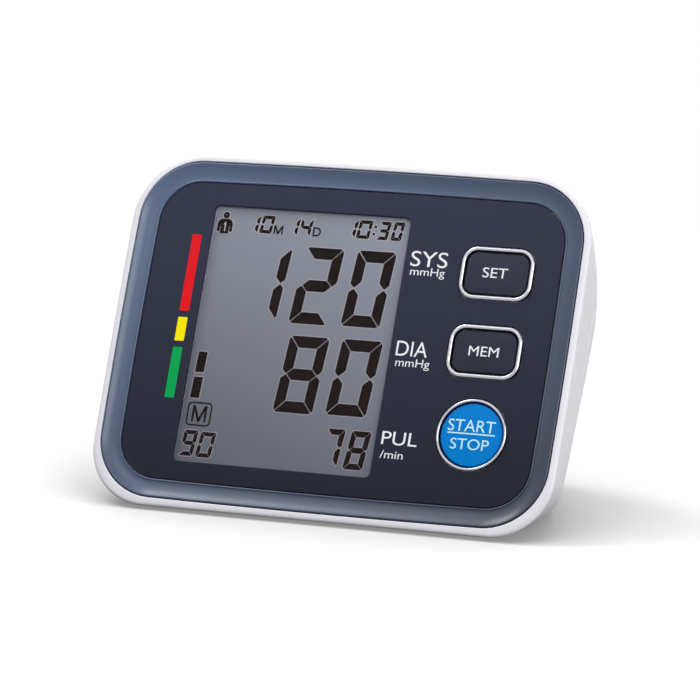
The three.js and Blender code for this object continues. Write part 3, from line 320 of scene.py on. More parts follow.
def plateWithHoles(name, outline, holes, low, high, edge, edgeSteps=3):
    # flat plate with rounded upper edges on its outline and holes
    points, faces, tops, bottoms = [], [], [], []
    for index, loop in enumerate([outline, *holes]):
        direction = -1 if index else 1
        rings = [ringAt(loop, low), ringAt(loop, high - edge)]
        for inset, z in arc(edge, high - edge, -edge, edge, 0, 1, edgeSteps)[1:]:
            rings.append(ringAt(offsetLoop(loop, direction * inset), z))
        start, size = len(points), len(loop)
        points += [point for ring in rings for point in ring]
        for band in range(len(rings) - 1):
            faces += bandFaces(start + band * size, start + (band + 1) * size, size)
        bottoms.append(range(start, start + size))
        tops.append(range(start + (len(rings) - 1) * size, start + len(rings) * size))
    for loops in (bottoms, tops):
        order = [index for loop in loops for index in loop]
        polygons = [[Vector(points[index]) for index in loop] for loop in loops]
        faces += [tuple(order[corner] for corner in triangle)
                  for triangle in tessellate_polygon(polygons)]
    return newObject(name, points, faces)


def tube(name, path, radius, sides, bore=0.0, swell=0.0):
    # a rod or hose along points; a hose swells a little over what it is pushed on to
    turn = [2 * math.pi * step / sides for step in range(sides)]
    normal, outer, inner = None, [], []
    for index, point in enumerate(path):
        along = (path[min(len(path) - 1, index + 1)] - path[max(0, index - 1)]).normalized()
        guess = normal or Vector((1, 0, 0) if abs(along.z) > 0.9 else (0, 0, 1))
        normal = (guess - along * guess.dot(along)).normalized()
        side = along.cross(normal)
        grown = swell if min(index, len(path) - 1 - index) < 3 else 0
        for ring, size in ((outer, radius + grown), (inner, bore)):
            ring.append([tuple(point + (normal * math.cos(angle) + side * math.sin(angle)) * size)
                         for angle in turn])
    return skin(name, [*outer, *reversed(inner)], True) if bore else skin(name, outer)


def carve(target, operation, *tools):
    for tool in tools:
        modifier = target.modifiers.new("carve", "BOOLEAN")
        modifier.solver = "MANIFOLD"
        modifier.operation = operation
        modifier.object = tool
    depsgraph = bpy.context.evaluated_depsgraph_get()
    made = bpy.data.meshes.new_from_object(target.evaluated_get(depsgraph))
    target.modifiers.clear()
    old, target.data = target.data, made
    bpy.data.meshes.remove(old)
    for tool in tools:
        bpy.data.objects.remove(tool)
    return target


slotOf = {}  # the record's material slot of each finish


def finished(piece, finish, space=faceFrame, body="housing", stands=(), slot=None, angle=35,
             weighted=True):
    # to metres, smooth faces, finish, body and CAD nodes in one place; the slot argument is not
    # used
    piece.data.transform(space)
    recalculate(piece.data)
    piece.data.shade_smooth()
    piece.data.set_sharp_from_angle(angle=math.radians(angle))
    if weighted:
        modifier = piece.modifiers.new("evenNormals", "WEIGHTED_NORMAL")
        modifier.keep_sharp = True
    piece.data.materials.clear()
    piece.data.materials.append(finish)
    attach(piece, body)
    if stands:
        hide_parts(*stands)
    return piece


def flat(piece, finish, space=faceFrame, **more):
    # print and small sharp parts, whose flat sides stay flat
    return finished(piece, finish, space, weighted=False, **more)


def dress(finish, *names):
    # a new finish for CAD nodes that keep their shape
    for name in names:
        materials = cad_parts[name].data.materials
        if not materials:
            materials.append(finish)
        for index in range(len(materials)):
            materials[index] = finish


# Shader helpers and groups
surface = {"slowScale": 22.0, "smearScale": 140.0, "edgeFrom": 0.53, "edgeTo": 0.62}
# heights over which the face's painted shade runs
fadeHeights = {"low": 0.008, "high": 0.09}


def linear(colour):
    shares = [value / 255 for value in colour]
    return (*(share / 12.92 if share <= 0.04045 else ((share + 0.055) / 1.055) ** 2.4
              for share in shares), 1)


def feed(tree, node, inputs):
    # plain values go on the node's inputs, and sockets are linked to them
    for key, value in inputs.items():
        if isinstance(value, bpy.types.NodeSocket):
            tree.links.new(value, node.inputs[key])
        else:
            node.inputs[key].default_value = value
    return node


def addNode(tree, kind, inputs=None, **settings):
    node = tree.nodes.new("ShaderNode" + kind)
    for key, value in settings.items():
        setattr(node, key, value)
    return feed(tree, node, inputs or {})


def mathNode(tree, operation, *values):
    return addNode(tree, "Math", dict(enumerate(values)), operation=operation).outputs[0]


def newGroup(name, inputs, outputs):
    group = bpy.data.node_groups.new(name, "ShaderNodeTree")
    for socket, value in inputs.items():
        kind = "NodeSocketColor" if isinstance(value, tuple) else "NodeSocketFloat"
        group.interface.new_socket(socket, in_out="INPUT", socket_type=kind).default_value = value
    for socket, kind in outputs.items():
        group.interface.new_socket(socket, in_out="OUTPUT", socket_type=kind)
    return group, group.nodes.new("NodeGroupInput").outputs, group.nodes.new("NodeGroupOutput")


def finishGroup():
    # fine grain, slow change of shade and of gloss, and paler worn edges
    group, entry, leave = newGroup("mouldedFinish", {
        "Color": (0.8, 0.8, 0.8, 1), "Worn Color": (0.9, 0.9, 0.9, 1), "Roughness": 0.4,
        "Shade Change": 0.04, "Gloss Change": 0.08, "Grain Scale": 2600.0, "Grain Height": 0.5,
        "Edge Wear": 0.1,
    }, {"Color": "NodeSocketColor", "Roughness": "NodeSocketFloat", "Height": "NodeSocketFloat"})
    place = addNode(group, "TexCoord").outputs["Object"]

    def noise(scale, detail, rough=0.5):
        inputs = {"Vector": place, "Scale": scale, "Detail": detail, "Roughness": rough}
        return addNode(group, "TexNoise", inputs).outputs[0]

    slow, smear = noise(surface["slowScale"], 3.0), noise(surface["smearScale"], 4.0, 0.6)
    grain = noise(entry["Grain Scale"], 2.0)
    change = entry["Shade Change"]
    level = mathNode(group, "ADD", mathNode(group, "MULTIPLY", change, -0.5), 1.0)
    shade = mathNode(group, "MULTIPLY_ADD", slow, change, level)
    hue = addNode(group, "HueSaturation", {"Value": shade, "Color": entry["Color"]})
    pointed = addNode(group, "NewGeometry").outputs["Pointiness"]
    edge = addNode(group, "MapRange", {
        "Value": pointed, "From Min": surface["edgeFrom"], "From Max": surface["edgeTo"]})
    broken = mathNode(group, "MULTIPLY", edge.outputs["Result"], smear)
    worn = mathNode(group, "MULTIPLY", broken, entry["Edge Wear"])
    mixed = addNode(group, "Mix",
                    {"Factor": worn, "A": hue.outputs["Color"], "B": entry["Worn Color"]},
                    data_type="RGBA")
    gloss = mathNode(group, "MULTIPLY", mathNode(group, "SUBTRACT", smear, 0.5),
                     entry["Gloss Change"])
    rough = addNode(group, "Math", {0: gloss, 1: entry["Roughness"]}, operation="ADD",
                    use_clamp=True)
    feed(group, leave, {"Color": mixed.outputs["Result"], "Roughness": rough.outputs[0],
                        "Height": mathNode(group, "MULTIPLY", grain, entry["Grain Height"])})
    return group


def fadeGroup():
    # painted shade: the face catches more light at its upper edge, so its colour is made lighter up
    # the slope and changed across it
    group, entry, leave = newGroup("facePaintedShade", {
        "Color": (0.8, 0.8, 0.8, 1), "Lower": 0.8, "Upper": 1.2, "Across": 0.0},
        {"Color": "NodeSocketColor"})
    split = addNode(group, "SeparateXYZ", {0: addNode(group, "TexCoord").outputs["Object"]}).outputs
    up = addNode(group, "MapRange", {
        "Value": split["Z"], "From Min": fadeHeights["low"], "From Max": fadeHeights["high"],
        "To Min": entry["Lower"], "To Max": entry["Upper"]})
    side = mathNode(group, "MULTIPLY", split["X"], entry["Across"])
    level = mathNode(group, "ADD", up.outputs["Result"], side)
    hue = addNode(group, "HueSaturation", {"Value": level, "Color": entry["Color"]})
    feed(group, leave, {"Color": hue.outputs["Color"]})
    return group


mouldedFinish = finishGroup()
facePaintedShade = fadeGroup()


def newMaterial(name, slot):
    material = bpy.data.materials.new(name)
    material.use_nodes = True
    slotOf[name] = slot
    return material, material.node_tree, material.node_tree.nodes["Principled BSDF"]


def moulded(name, slot, colour, roughness=0.4, worn=None, shade=0.04, gloss=0.08, grain=2600.0,
            wear=0.1, bump=0.00002, metallic=0.0, subsurface=0.0, specular=0.5, fade=None):
    material, tree, shader = newMaterial(name, slot)
    tone = linear(colour)
    # a painted shade, by height and across the face, can be laid into the colour
    if fade:
        settings = dict(zip(("Color", "Lower", "Upper", "Across"), (tone, *fade)))
        tone = addNode(tree, "Group", settings, node_tree=facePaintedShade).outputs["Color"]
    group = addNode(tree, "Group", {
        "Color": tone, "Worn Color": linear(worn or [min(255, value + 30) for value in colour]),
        "Roughness": roughness, "Shade Change": shade, "Gloss Change": gloss, "Grain Scale": grain,
        "Edge Wear": wear}, node_tree=mouldedFinish).outputs
    relief = addNode(tree, "Bump", {"Distance": bump, "Height": group["Height"]})
    feed(tree, shader, {
        "Base Color": group["Color"], "Roughness": group["Roughness"],
        "Normal": relief.outputs["Normal"], "Metallic": metallic, "Subsurface Weight": subsurface,
        "IOR": 1.46, "Specular IOR Level": specular})
    return material


def ink(name, slot, colour, roughness, specular, bump=0.000004, **more):
    return moulded(name, slot, colour, roughness, wear=0.0, bump=bump, specular=specular, **more)


housingPlastic = moulded("housingPlastic", "housing", (229, 229, 236), 0.34, shade=0.02, gloss=0.06,
                         wear=0.0)
# bezelPaint, panelPaint, capPaint, displayGrey and haloInk below have painted shade in their
# colour: darker low on the face, lighter high on it, and changing across it
bezelPaint = moulded("bezelPaint", "trim", (73, 87, 114), 0.34, (100, 113, 136), grain=3500.0,
                     fade=(0.62, 1.18, -4.4))
panelPaint = moulded("panelPaint", "panel", (35, 38, 52), 0.42, (56, 60, 74), shade=0.05,
                     grain=3200.0, bump=0.00001, specular=0.1, fade=(0.88, 1.95, -1.0))
capPaint = moulded("capPaint", "key_cap", (42, 45, 57), 0.45, (66, 70, 84), specular=0.1,
                   fade=(0.8, 1.6, 0.0))
startPaint = moulded("startPaint", "start_cap", (0, 126, 207), 0.4, (60, 150, 225), specular=0.08)
ringChrome = moulded("ringChrome", "chrome", (178, 177, 186), 0.22, metallic=1.0, gloss=0.1,
                     wear=0.0, bump=0.000003)
displayGrey = moulded("displayGrey", "display", (124, 127, 137), 0.35, shade=0.06, grain=6000.0,
                      bump=0.000002, specular=0.1, fade=(0.7, 1.58, 3.2))
segmentInk = ink("segmentInk", "display", (26, 16, 15), 0.6, 0.05, 0.000002, shade=0.25)
haloInk = ink("haloInk", "display", (172, 167, 174), 0.4, 0.1, 0.000002, fade=(0.75, 1.25, 1.0))
whiteInk = ink("whiteInk", "panel", (238, 240, 245), 0.5, 0.2)
paleInk = ink("paleInk", "start_cap", (196, 238, 252), 0.5, 0.2)
redInk = ink("redInk", "panel", (230, 22, 34), 0.45, 0.1)
yellowInk = ink("yellowInk", "panel", (252, 238, 0), 0.45, 0.1)
greenInk = ink("greenInk", "panel", (0, 165, 84), 0.45, 0.1)
naturalPlastic = moulded("naturalPlastic", "natural_plastic", (214, 210, 198), 0.45)
blackPlastic = moulded("blackPlastic", "black_plastic", (30, 31, 34), 0.42, (70, 72, 76), wear=0.3)
rubberFoot = moulded("rubberFoot", "rubber", (52, 53, 57), 0.75, grain=1800.0, bump=0.00005,
                     gloss=0.15)
steelSheet = moulded("steelSheet", "steel", (186, 189, 194), 0.3, metallic=1.0, gloss=0.2)
brassMetal = moulded("brassMetal", "brass", (206, 172, 98), 0.3, metallic=1.0, gloss=0.2)
laminateGreen = moulded("laminateGreen", "laminate", (30, 104, 62), 0.4, shade=0.12)
traceCopper = ink("traceCopper", "laminate", (66, 146, 92), 0.35, 0.5, shade=0.08)
cellWrap = moulded("cellWrap", "cell_wrap", (44, 112, 88), 0.3, gloss=0.12)
siliconeHose = moulded("siliconeHose", "silicone", (216, 219, 214), 0.45, subsurface=0.1)
redWire = moulded("redWire", "red_wire", (190, 38, 34))
blackWire = moulded("blackWire", "black_wire", (34, 34, 36))


def clearPlastic():
    # clear to look through, and light passes it on its way to the display
    material, tree, shader = newMaterial("clearPlastic", "window")
    feed(tree, shader, {"Base Color": linear((250, 252, 255)), "Transmission Weight": 1.0,
                        "Roughness": 0.02, "IOR": 1.1})
    path = addNode(tree, "LightPath").outputs
    lit = mathNode(tree, "MAXIMUM", path["Is Shadow Ray"], path["Is Diffuse Ray"])
    through = addNode(tree, "BsdfTransparent").outputs[0]
    mix = addNode(tree, "MixShader", {0: lit, 1: shader.outputs[0], 2: through})
    feed(tree, tree.nodes["Material Output"], {"Surface": mix.outputs[0]})
    return material


windowClear = clearPlastic()
print("materials ready:", len(bpy.data.materials))


# Housing sections, parallel to the face
def bodyOutline(depth, inset):
    rounding = shell["rounding"]
    run, shallow = max(0, depth - rounding), max(0, rounding - depth)
    drawn = rounding - math.sqrt(max(0, rounding ** 2 - shallow ** 2))
    sideInset = inset * math.hypot(1, run / shell["sideCurve"]) + drawn
    halfWidth = faceWidth / 2 - run ** 2 / (2 * shell["sideCurve"]) - sideInset
    heel = shell["heelRadius"] - inset
    heelRise = math.sqrt(max(0, heel ** 2 - (run - heelRun) ** 2))
    top = halfFace - rearSlope * run - inset * rearStretch - drawn
    if run > heelRun + heel * rearSlope / rearStretch:
        top = heelLevel + heelRise
    bottom = -halfFace + baseSlope * run + inset * baseStretch + drawn
    if run > heelRun + heel * baseSlope / baseStretch:
        bottom = heelLevel - heelRise
    middle, halfSpan = (top + bottom) / 2, (top - bottom) / 2
    corners = [min(halfSpan * shell["largestCorner"],
                   max(shell["smallestCorner"],
                       shell[end + "Corner"] - shell[end + "Taper"] * run - inset))
               for end in ("top", "bottom")]
    bow = shell["bow"] * min(1, halfSpan / shell["fullBowSpan"])
    points = []
    for x, y in fourCorners(halfWidth, top, bottom, *corners, shell["cornerSteps"],
                            shell["sideSteps"]):
        across, up = x / halfWidth, (y - middle) / halfSpan
        lean = shell["sideLean"] * run * y / halfFace
        outward = 1 if x > 0 else -1
        points.append((x + outward * (lean - bow * up ** 2),
                       y - (bow * across ** 2 if up > 0 else 0)))
    return points


def bodyDepths(inset, near, far):
    # depths of the sections between near and far, closest where the form turns
    rounding, sections, heel = shell["rounding"], shell["sections"], shell["heelRadius"] - inset
    heelDepth = rounding + heelRun + heel * baseSlope / baseStretch
    last = rounding + heelRun + heel
    depths = [depth for depth, _ in arc(rounding, 0, -rounding, 0, 0, 1, 6)]
    depths += [rounding + (heelDepth - rounding) * step / sections
               for step in range(1, sections + 1)]
    heelArc = arc(0, heelDepth, 0, last - heelDepth, 0, shell["heelEnd"], shell["heelSteps"])
    depths += [depth for _, depth in heelArc[1:]]
    least = shell["leastStep"]
    chosen = [near] + [depth for depth in depths if near + least < depth < far - least]
    return chosen + [far] if far < depths[-1] else chosen


def bodyRings(depths):
    return [ringAt(bodyOutline(depth, inset), -depth) for depth, inset in depths]


def bodySolid(name, inset, near, far):
    return skin(name, bodyRings((depth, inset) for depth in bodyDepths(inset, near, far)))


bezelHalfWidth = faceWidth / 2 - shell["lip"] - gap
bezelHalfHeight = halfFace - shell["lip"] - gap


def bezelOutline(inset):
    return roundedOutline(bezelHalfWidth - inset, bezelHalfHeight - inset,
                          panel["bezelCorner"] - inset, shell["cornerSteps"], shell["sideSteps"],
                          shell["bow"])


def windowOutline(grow):
    corner = display["corner"] + max(0, grow)
    return roundedOutline(panel["window"] / 2 + grow, windowHeight / 2 + grow, corner, 6, 3,
                          centre=(windowX, windowY))


keyShape = {"height": 15.2, "corner": 4.7, "startRadius": 10.2}
buttons = [
    {"name": "set", "y": 22.7, "rim": 1.4, "paint": capPaint},
    {"name": "mem", "y": 0.15, "rim": 1.4, "paint": capPaint},
    {"name": "start", "y": -23.6, "rim": 1.0, "paint": startPaint},
]


def buttonOutline(button, grow):
    centre = (keysX, button["y"])
    if button["name"] == "start":
        return circle(keyShape["startRadius"] + grow, 72, centre)
    return roundedOutline(panel["keys"] / 2 + grow, keyShape["height"] / 2 + grow,
                          keyShape["corner"] + grow, 12, 3, centre=centre)


screwInset = {"upperSide": 13, "upper": 25.5, "lowerSide": 14, "lower": 15.5}
screwRows = ((screwInset["upperSide"], halfFace - screwInset["upper"]),
             (screwInset["lowerSide"], screwInset["lower"] - halfFace))
screwPlaces = [(sign * (faceWidth / 2 - side), y) for side, y in screwRows for sign in (1, -1)]
boardScrewPlaces = [(23.6, 28.99), (23.6, -20)]
footPlaces = {"front_left": (-45, 0.5), "front_right": (45, 0.5),
              "rear_left": (-34, bayRear - 6.9), "rear_right": (34, bayRear - 6.9)}
boss = {"radius": 2.8, "pilot": 1.7, "low": -15, "holeLow": -18}


def screwRods(radius, low, high, steps):
    return [rod("screwRod", radius, low, high, steps, "Z", (x, y, 0)) for x, y in screwPlaces]


def faceHole(outline):
    return skin("faceHole", [ringAt(outline, plateBack - over), ringAt(outline, over)])


def frontHousing():
    seam, lipEdge = shell["seamRounding"], shell["lipRounding"]
    edge = shell["parting"] - seam
    rings = bodyRings(arc(edge, seam, seam, -seam, 0, 1, 3))
    rings += bodyRings((depth, 0) for depth in reversed(bodyDepths(0, 0, edge - 0.3)))
    rings += [ringAt(bezelOutline(inset), z) for z, inset in
              arc(-lipEdge, -gap - lipEdge, lipEdge, lipEdge, 0, 1, 4)]
    rings.append(ringAt(bezelOutline(-gap), plateTop))
    piece = skin("frontHousing", rings)
    carve(piece, "DIFFERENCE", bodySolid("cavity", wall, -plateBack, shell["parting"] + over))
    carve(piece, "UNION", *screwRods(boss["radius"], boss["low"], plateTop - gap, 32))
    holes = screwRods(boss["pilot"], boss["holeLow"], plateBack - gap, 24)
    holes.append(faceHole(windowOutline(display["mouthGrow"])))
    holes += [faceHole(buttonOutline(button, gap - button["rim"])) for button in buttons]
    carve(piece, "DIFFERENCE", *holes)
    return finished(piece, housingPlastic, stands=["front_housing"], angle=30)


print("front housing ready:", len(frontHousing().data.polygons), "faces")

well = {"radius": 4.0, "low": -104, "floor": -15.3, "boreRadius": 2.9, "boreLow": -107,
        "seat": -17.3, "holeRadius": 1.7, "holeLow": -20.3, "holeHigh": -12.3}
cradle = {"places": (-18.8, -2.5, 14), "halfThickness": 1.2, "halfWidth": 9.5, "top": 25.5,
          "reach": 40}
port = {"bossRadius": 9.5, "bossDepth": 11.1, "socketHole": 6.3, "inletHole": 4.4}
footHole = {"radius": 5.3, "depth": 0.9}


def fingerHollow():
    place = (0, bay["front"] + pocket["reach"], 0)
    return rod("fingerHollow", pocket["radius"], -over, pocket["depth"], 64, "Z", place)


def rearHousing():
    seam, start = shell["seamRounding"], shell["parting"] + gap
    rings = bodyRings(arc(start + seam, seam, -seam, -seam, 0, 1, 3))
    rings += bodyRings((depth, 0) for depth in bodyDepths(0, start + seam + 0.3, beyond))
    piece = skin("rearHousing", rings)
    carve(piece, "DIFFERENCE", bodySolid("hollow", wall, shell["parting"] - over, beyond))
    lining = bodySolid("tongue", wall + gap, start - wall, start + gap)
    carve(lining, "UNION", bodySolid("band", wall / 2, start, start + wall))
    carve(lining, "DIFFERENCE",
          bodySolid("tongueBore", wall + gap + wall / 2, start - wall - over, start + wall + over))
    carve(piece, "UNION", lining)
    for post in screwRods(well["radius"], well["low"], well["floor"], 48):
        carve(post, "INTERSECT", bodySolid("hull", wall / 2, start, beyond))
        carve(piece, "UNION", post)
    bores = zip(screwRods(well["boreRadius"], well["boreLow"], well["seat"], 48),
                screwRods(well["holeRadius"], well["holeLow"], well["holeHigh"], 32))
    carve(piece, "DIFFERENCE", *(cutter for pair in bores for cutter in pair))
    piece.data.transform(faceToBase)
    return piece


def bayAndPorts(piece):
    # the bay, the pump's cradles, the hollows underneath and the mouths of both sockets
    outer = bodySolid("outer", 0.5, -plateBack + gap, beyond)
    outer.data.transform(faceToBase)
    side, roof = bay["halfWidth"] + bay["wall"], bay["door"] + gap + cell["radius"] * 2 + gap
    bayWalls = block("bayWalls", -side, side, bay["front"] - bay["wall"], bayRear + bay["wall"],
                     wall / 2, roof + bay["wall"])
    carve(piece, "UNION", carve(bayWalls, "INTERSECT", outer))
    cradles = []
    for x in cradle["places"]:
        plate = block("cradle",
                      *around(x, pump["axisY"], cradle["halfThickness"], cradle["halfWidth"],
                              roof + bay["wall"] / 2, cradle["top"]))
        seat = rod("seat", pump["radius"] + gap, -cradle["reach"], cradle["reach"], 64, "X",
                   (0, pump["axisY"], pump["axisZ"]))
        cradles.append(carve(plate, "DIFFERENCE", seat))
    carve(piece, "UNION", *cradles)
    half = bay["halfWidth"]
    cuts = [block("chamber", -half, half, bay["front"], bayRear, bay["door"], roof),
            block("mouth", -half, half, bay["front"], doorRear, -over, 5), fingerHollow()]
    cuts += [rod("footHole", footHole["radius"], -over, footHole["depth"], 64, "Z", (x, y, 0))
             for x, y in footPlaces.values()]
    carve(piece, "DIFFERENCE", *cuts)
    inner = bodySolid("inner", wall / 2, shell["parting"] + 3 * gap, beyond)
    inner.data.transform(faceToBase)
    left, centre = -faceWidth / 2, (0, socketCentre.y, socketCentre.z)
    bossEnd = left + port["bossDepth"]
    socketBoss = rod("socketBoss", port["bossRadius"], left, bossEnd, 64, "X", centre)
    carve(piece, "UNION", carve(socketBoss, "INTERSECT", inner))
    inletPlace = (inletCentre.x, inletHigh.y - over, inletCentre.z)
    carve(piece, "DIFFERENCE",
          rod("socketHole", port["socketHole"], left - over, bossEnd + over, 64, "X", centre),
          rod("inletHole", port["inletHole"], 0, 104, 48, "Y", inletPlace))
    return finished(piece, housingPlastic, baseFrame, stands=["rear_housing"], angle=30)


print("rear housing ready:", len(bayAndPorts(rearHousing()).data.polygons), "faces")


# Face
def trimBezel():
    # rounded outer edge, a hollow slope and a fine bead beside the panel
    width, edge, bead = panel["bezelWidth"], panel["bezelEdge"], panel["bezelBead"]
    slope = [step / 16 for step in range(1, 17)]
    profile = [(0, panelUnder)] + arc(edge, -edge, -edge, edge, 0, 1, 4)
    profile += [(edge + (width - 2 * bead - edge) * across,
                 panelTop * (1 - (1 - across) ** panel["bezelHollow"]))
                for across in slope]
    profile += arc(width - bead, panelTop, bead, bead, 2, 0, 8)[1:] + [(width, panelUnder)]
    piece = skin("trimBezel", [ringAt(bezelOutline(inset), z) for inset, z in profile], True)
    finished(piece, bezelPaint, stands=["trim_bezel"], angle=40)


def facePlates():
    holes = [buttonOutline(button, gap) for button in buttons] + [windowOutline(0)]
    outline, edge = bezelOutline(panel["bezelWidth"] + gap), display["edge"]
    plates = [
        ("facePanel", outline, holes, panelUnder, panelTop, panel["edge"], panelPaint, 40),
        ("displayWindow", windowOutline(-gap), [], panelUnder, panelUnder + display["window"], edge,
         windowClear, 35),
        ("displayGlass", windowOutline(display["glassGrow"]), [], plateBack, plateTop, edge,
         displayGrey, 35),
    ]
    nodes = ("face_panel", "display_window", "display_glass")
    for (*shape, finish, angle), node in zip(plates, nodes):
        finished(plateWithHoles(*shape), finish, stands=[node], angle=angle)


trimBezel()
facePlates()

ring = {"rise": 0.7, "slim": 0.25, "outerRound": 0.5, "innerRound": 0.4}
cap = {"rise": 0.2, "crown": 0.3, "edge": 0.3, "crownSteps": 12}
capBase = panelTop + cap["rise"]


def ringOf(button):
    # bright trim: a broad outer rounding, a narrow top and a small inner rounding
    width = button["rim"] - ring["slim"]
    outer, inner = ring["outerRound"] * width, ring["innerRound"] * width
    high = panelTop + ring["rise"]
    profile = [(0, panelUnder)] + arc(-outer, high - outer, outer, outer, 0, 1, 8)
    profile += arc(-width + inner, high - inner, inner, inner, 1, 2, 6) + [(-width, panelUnder)]
    piece = skin(button["name"] + "Ring",
                 [ringAt(buttonOutline(button, grow), z) for grow, z in profile], True)
    finished(piece, ringChrome, stands=[button["name"] + "_button_ring"], angle=50)


def capOf(button):
    # the cap: flange, upright side, rounded edge and a low crown that ends in its middle
    side, edge, flangeTop = -button["rim"] - gap, cap["edge"], plateBack - gap
    profile = [(side + 1 + gap, flangeTop - 1), (side + 1 + gap, flangeTop), (side, flangeTop)]
    profile += arc(side - edge, capBase - edge, edge, edge, 0, 1, 6)
    rings = [ringAt(buttonOutline(button, grow), z) for grow, z in profile]
    for step in range(1, cap["crownSteps"]):
        share, y = 1 - step / cap["crownSteps"], button["y"]
        rings.append([(keysX + (px - keysX) * share, y + (py - y) * share,
                       capBase + cap["crown"] * (1 - share ** 2))
                       for px, py in buttonOutline(button, side - edge)])
    finished(skin(button["name"] + "Button", rings), button["paint"], body=button["name"] + "_key",
             stands=[button["name"] + "_button"], angle=40)


def crownAt(button, x, y):
    # height of the cap's crown at a point of the face
    outline = buttonOutline(button, -button["rim"] - gap - cap["edge"])
    reachX = max(px for px, py in outline) - keysX
    reachY = max(py for px, py in outline) - button["y"]
    share = max(abs(x - keysX) / reachX, abs(y - button["y"]) / reachY)
    if button["name"] == "start":
        share = math.hypot(x - keysX, y - button["y"]) / reachX
    return capBase + cap["crown"] * (1 - min(1, share) ** 2)


for button in buttons:
    ringOf(button)
    capOf(button)
print("face ready")


# Flat ink: polygons raised a hair above what carries them
def inkPlate(name, loops, z, thickness, finish, slot=None):
    points, faces = [], []
    for loop in loops:
        start, size = len(points), len(loop)
        points += ringAt(loop, z) + ringAt(loop, z + thickness)
        faces += [tuple(range(start + size, start + 2 * size)),
                  tuple(reversed(range(start, start + size)))]
        faces += bandFaces(start, start + size, size)
    flat(newObject(name, points, faces), finish, slot=slot, angle=20)


segmentsLit = {"0": "abcdef", "1": "bc", "2": "abged", "3": "abgcd", "4": "fgbc", "7": "abc",
               "8": "abcdefg", "9": "abcdfg"}


def segmentLoops(digit, box, thickness, slant, space):
    # one seven-segment figure inside box = (left, right, low, high)
    left, right, low, high = box
    lean, height = math.tan(math.radians(slant)), high - low
    width = right - left - lean * height
    t, s = thickness, space
    flatEnd, middle = 1.08 * t, height / 2
    shapes = {
        "a": [(s + 0.12 * t, height - 0.1 * t), (s + 0.3 * t, height),
              (width - s - 0.3 * t, height), (width - s - 0.12 * t, height - 0.1 * t),
              (width - t - s, height - flatEnd), (t + s, height - flatEnd)],
        "d": [(t + s, flatEnd), (width - t - s, flatEnd), (width - s - 0.12 * t, 0.1 * t),
              (width - s - 0.3 * t, 0), (s + 0.3 * t, 0), (s + 0.12 * t, 0.1 * t)],
        "f": [(0.12 * t, height - s - 0.1 * t), (t, height - flatEnd - s),
              (t, middle + t * 0.55 + s), (t * 0.42, middle + 0.6 * s), (0, middle + t * 0.35 + s),
              (0, height - s - 0.3 * t)],
        "e": [(0, s + 0.3 * t), (0, middle - t * 0.35 - s), (t * 0.42, middle - 0.6 * s),
              (t, middle - t * 0.55 - s), (t, flatEnd + s), (0.12 * t, s + 0.1 * t)],
        "g": [(t * 0.45 + 0.7 * s, middle), (t + 0.2 * s, middle + t * 0.54),
              (width - t - 0.2 * s, middle + t * 0.54), (width - t * 0.45 - 0.7 * s, middle),
              (width - t - 0.2 * s, middle - t * 0.54), (t + 0.2 * s, middle - t * 0.54)],
    }
    shapes["b"] = [(width - x, y) for x, y in shapes["f"]]
    shapes["c"] = [(width - x, y) for x, y in shapes["e"]]
    loops = []
    for key in segmentsLit[digit]:
        loop = [(left + x + lean * y, low + y) for x, y in shapes[key]]
        area = sum(one[0] * two[1] - two[0] * one[1] for one, two in zip(loop, loop[1:] + loop[:1]))
        loops.append(loop if area > 0 else loop[::-1])
    return loops


# Display figures by size: thickness, slant, space between segments, and each digit with its box
lcd = {"level": plateTop + 0.01, "ink": 0.03, "haloLevel": plateTop + 0.002, "halo": 0.012,
       "haloWidth": 0.24}
figures = [
    (3.15, 4.5, 0.17, [("2", (-17.25, -3.75, 4.6, 27.1)), ("0", (-1.45, 12.0, 4.9, 27.2)),
                       ("8", (-17.55, -3.8, -21.35, 1.05)), ("0", (-1.7, 12.25, -20.9, 1.2))]),
    (2.95, 4.5, 0.2, [("1", (-29.9, -19.5, 5.1, 26.5))]),
    (1.6, 6.5, 0.1, [("7", (-1.3, 5.5, -35.5, -24.8)), ("8", (6.1, 13.2, -36.0, -24.9))]),
    (1.15, 6.5, 0.1, [("9", (-43.7, -38.6, -36.2, -28.7)), ("0", (-38.6, -33.1, -36.3, -28.9))]),
    (0.95, 7.5, 0.05, [("1", (-33.5, -30.65, 30.2, 35.4)), ("0", (-30.7, -26.3, 30.2, 35.5)),
                       ("1", (-22.15, -18.5, 30.2, 35.3)), ("4", (-18.75, -14.5, 30.2, 35.3)),
                       ("1", (-4.6, -0.9, 30.7, 36.0)), ("0", (-1.2, 3.45, 30.6, 36.0)),
                       ("3", (4.9, 9.0, 30.6, 36.0)), ("0", (9.25, 13.1, 30.6, 36.1))]),
]
colon = [circle(0.42, 16, (4.35, 34.3)), circle(0.42, 16, (4.1, 32.2))]
levelMarks = [[(-42.95, -11.75), (-40.2, -11.75), (-40.0, -5.7), (-42.75, -5.7)],
              [(-43.15, -19.3), (-40.35, -19.3), (-40.1, -13.15), (-42.9, -13.15)]]


def lcdInk(name, loops):
    inkPlate(name, loops, lcd["level"], lcd["ink"], segmentInk)


def lcdHalo(name, loops):
    inkPlate(name, loops, lcd["haloLevel"], lcd["halo"], haloInk)


lcdLoops = [loop for thickness, slant, space, digits in figures for digit, box in digits
            for loop in segmentLoops(digit, box, thickness, slant, space)] + colon + levelMarks
lcdInk("displayFigures", lcdLoops)
lcdHalo("displayHalos", [offsetLoop(loop, -lcd["haloWidth"]) for loop in lcdLoops])

sign = {"x": -41.45, "headY": 34.85, "head": 0.95, "hole": 0.13, "shoulder": 2.35, "torso": 1.3,
        "armpit": 31.5, "armGap": 0.16, "armLow": 29.95, "low": 29.4, "top": 33.75, "roundX": 1.5,
        "roundY": 1.7,
        "mark": [(-0.1, 30.1), (0.28, 30.1), (0.28, 32.8), (0.05, 32.8), (-0.45, 32.2),
                 (-0.45, 31.85), (-0.1, 32.05)]}


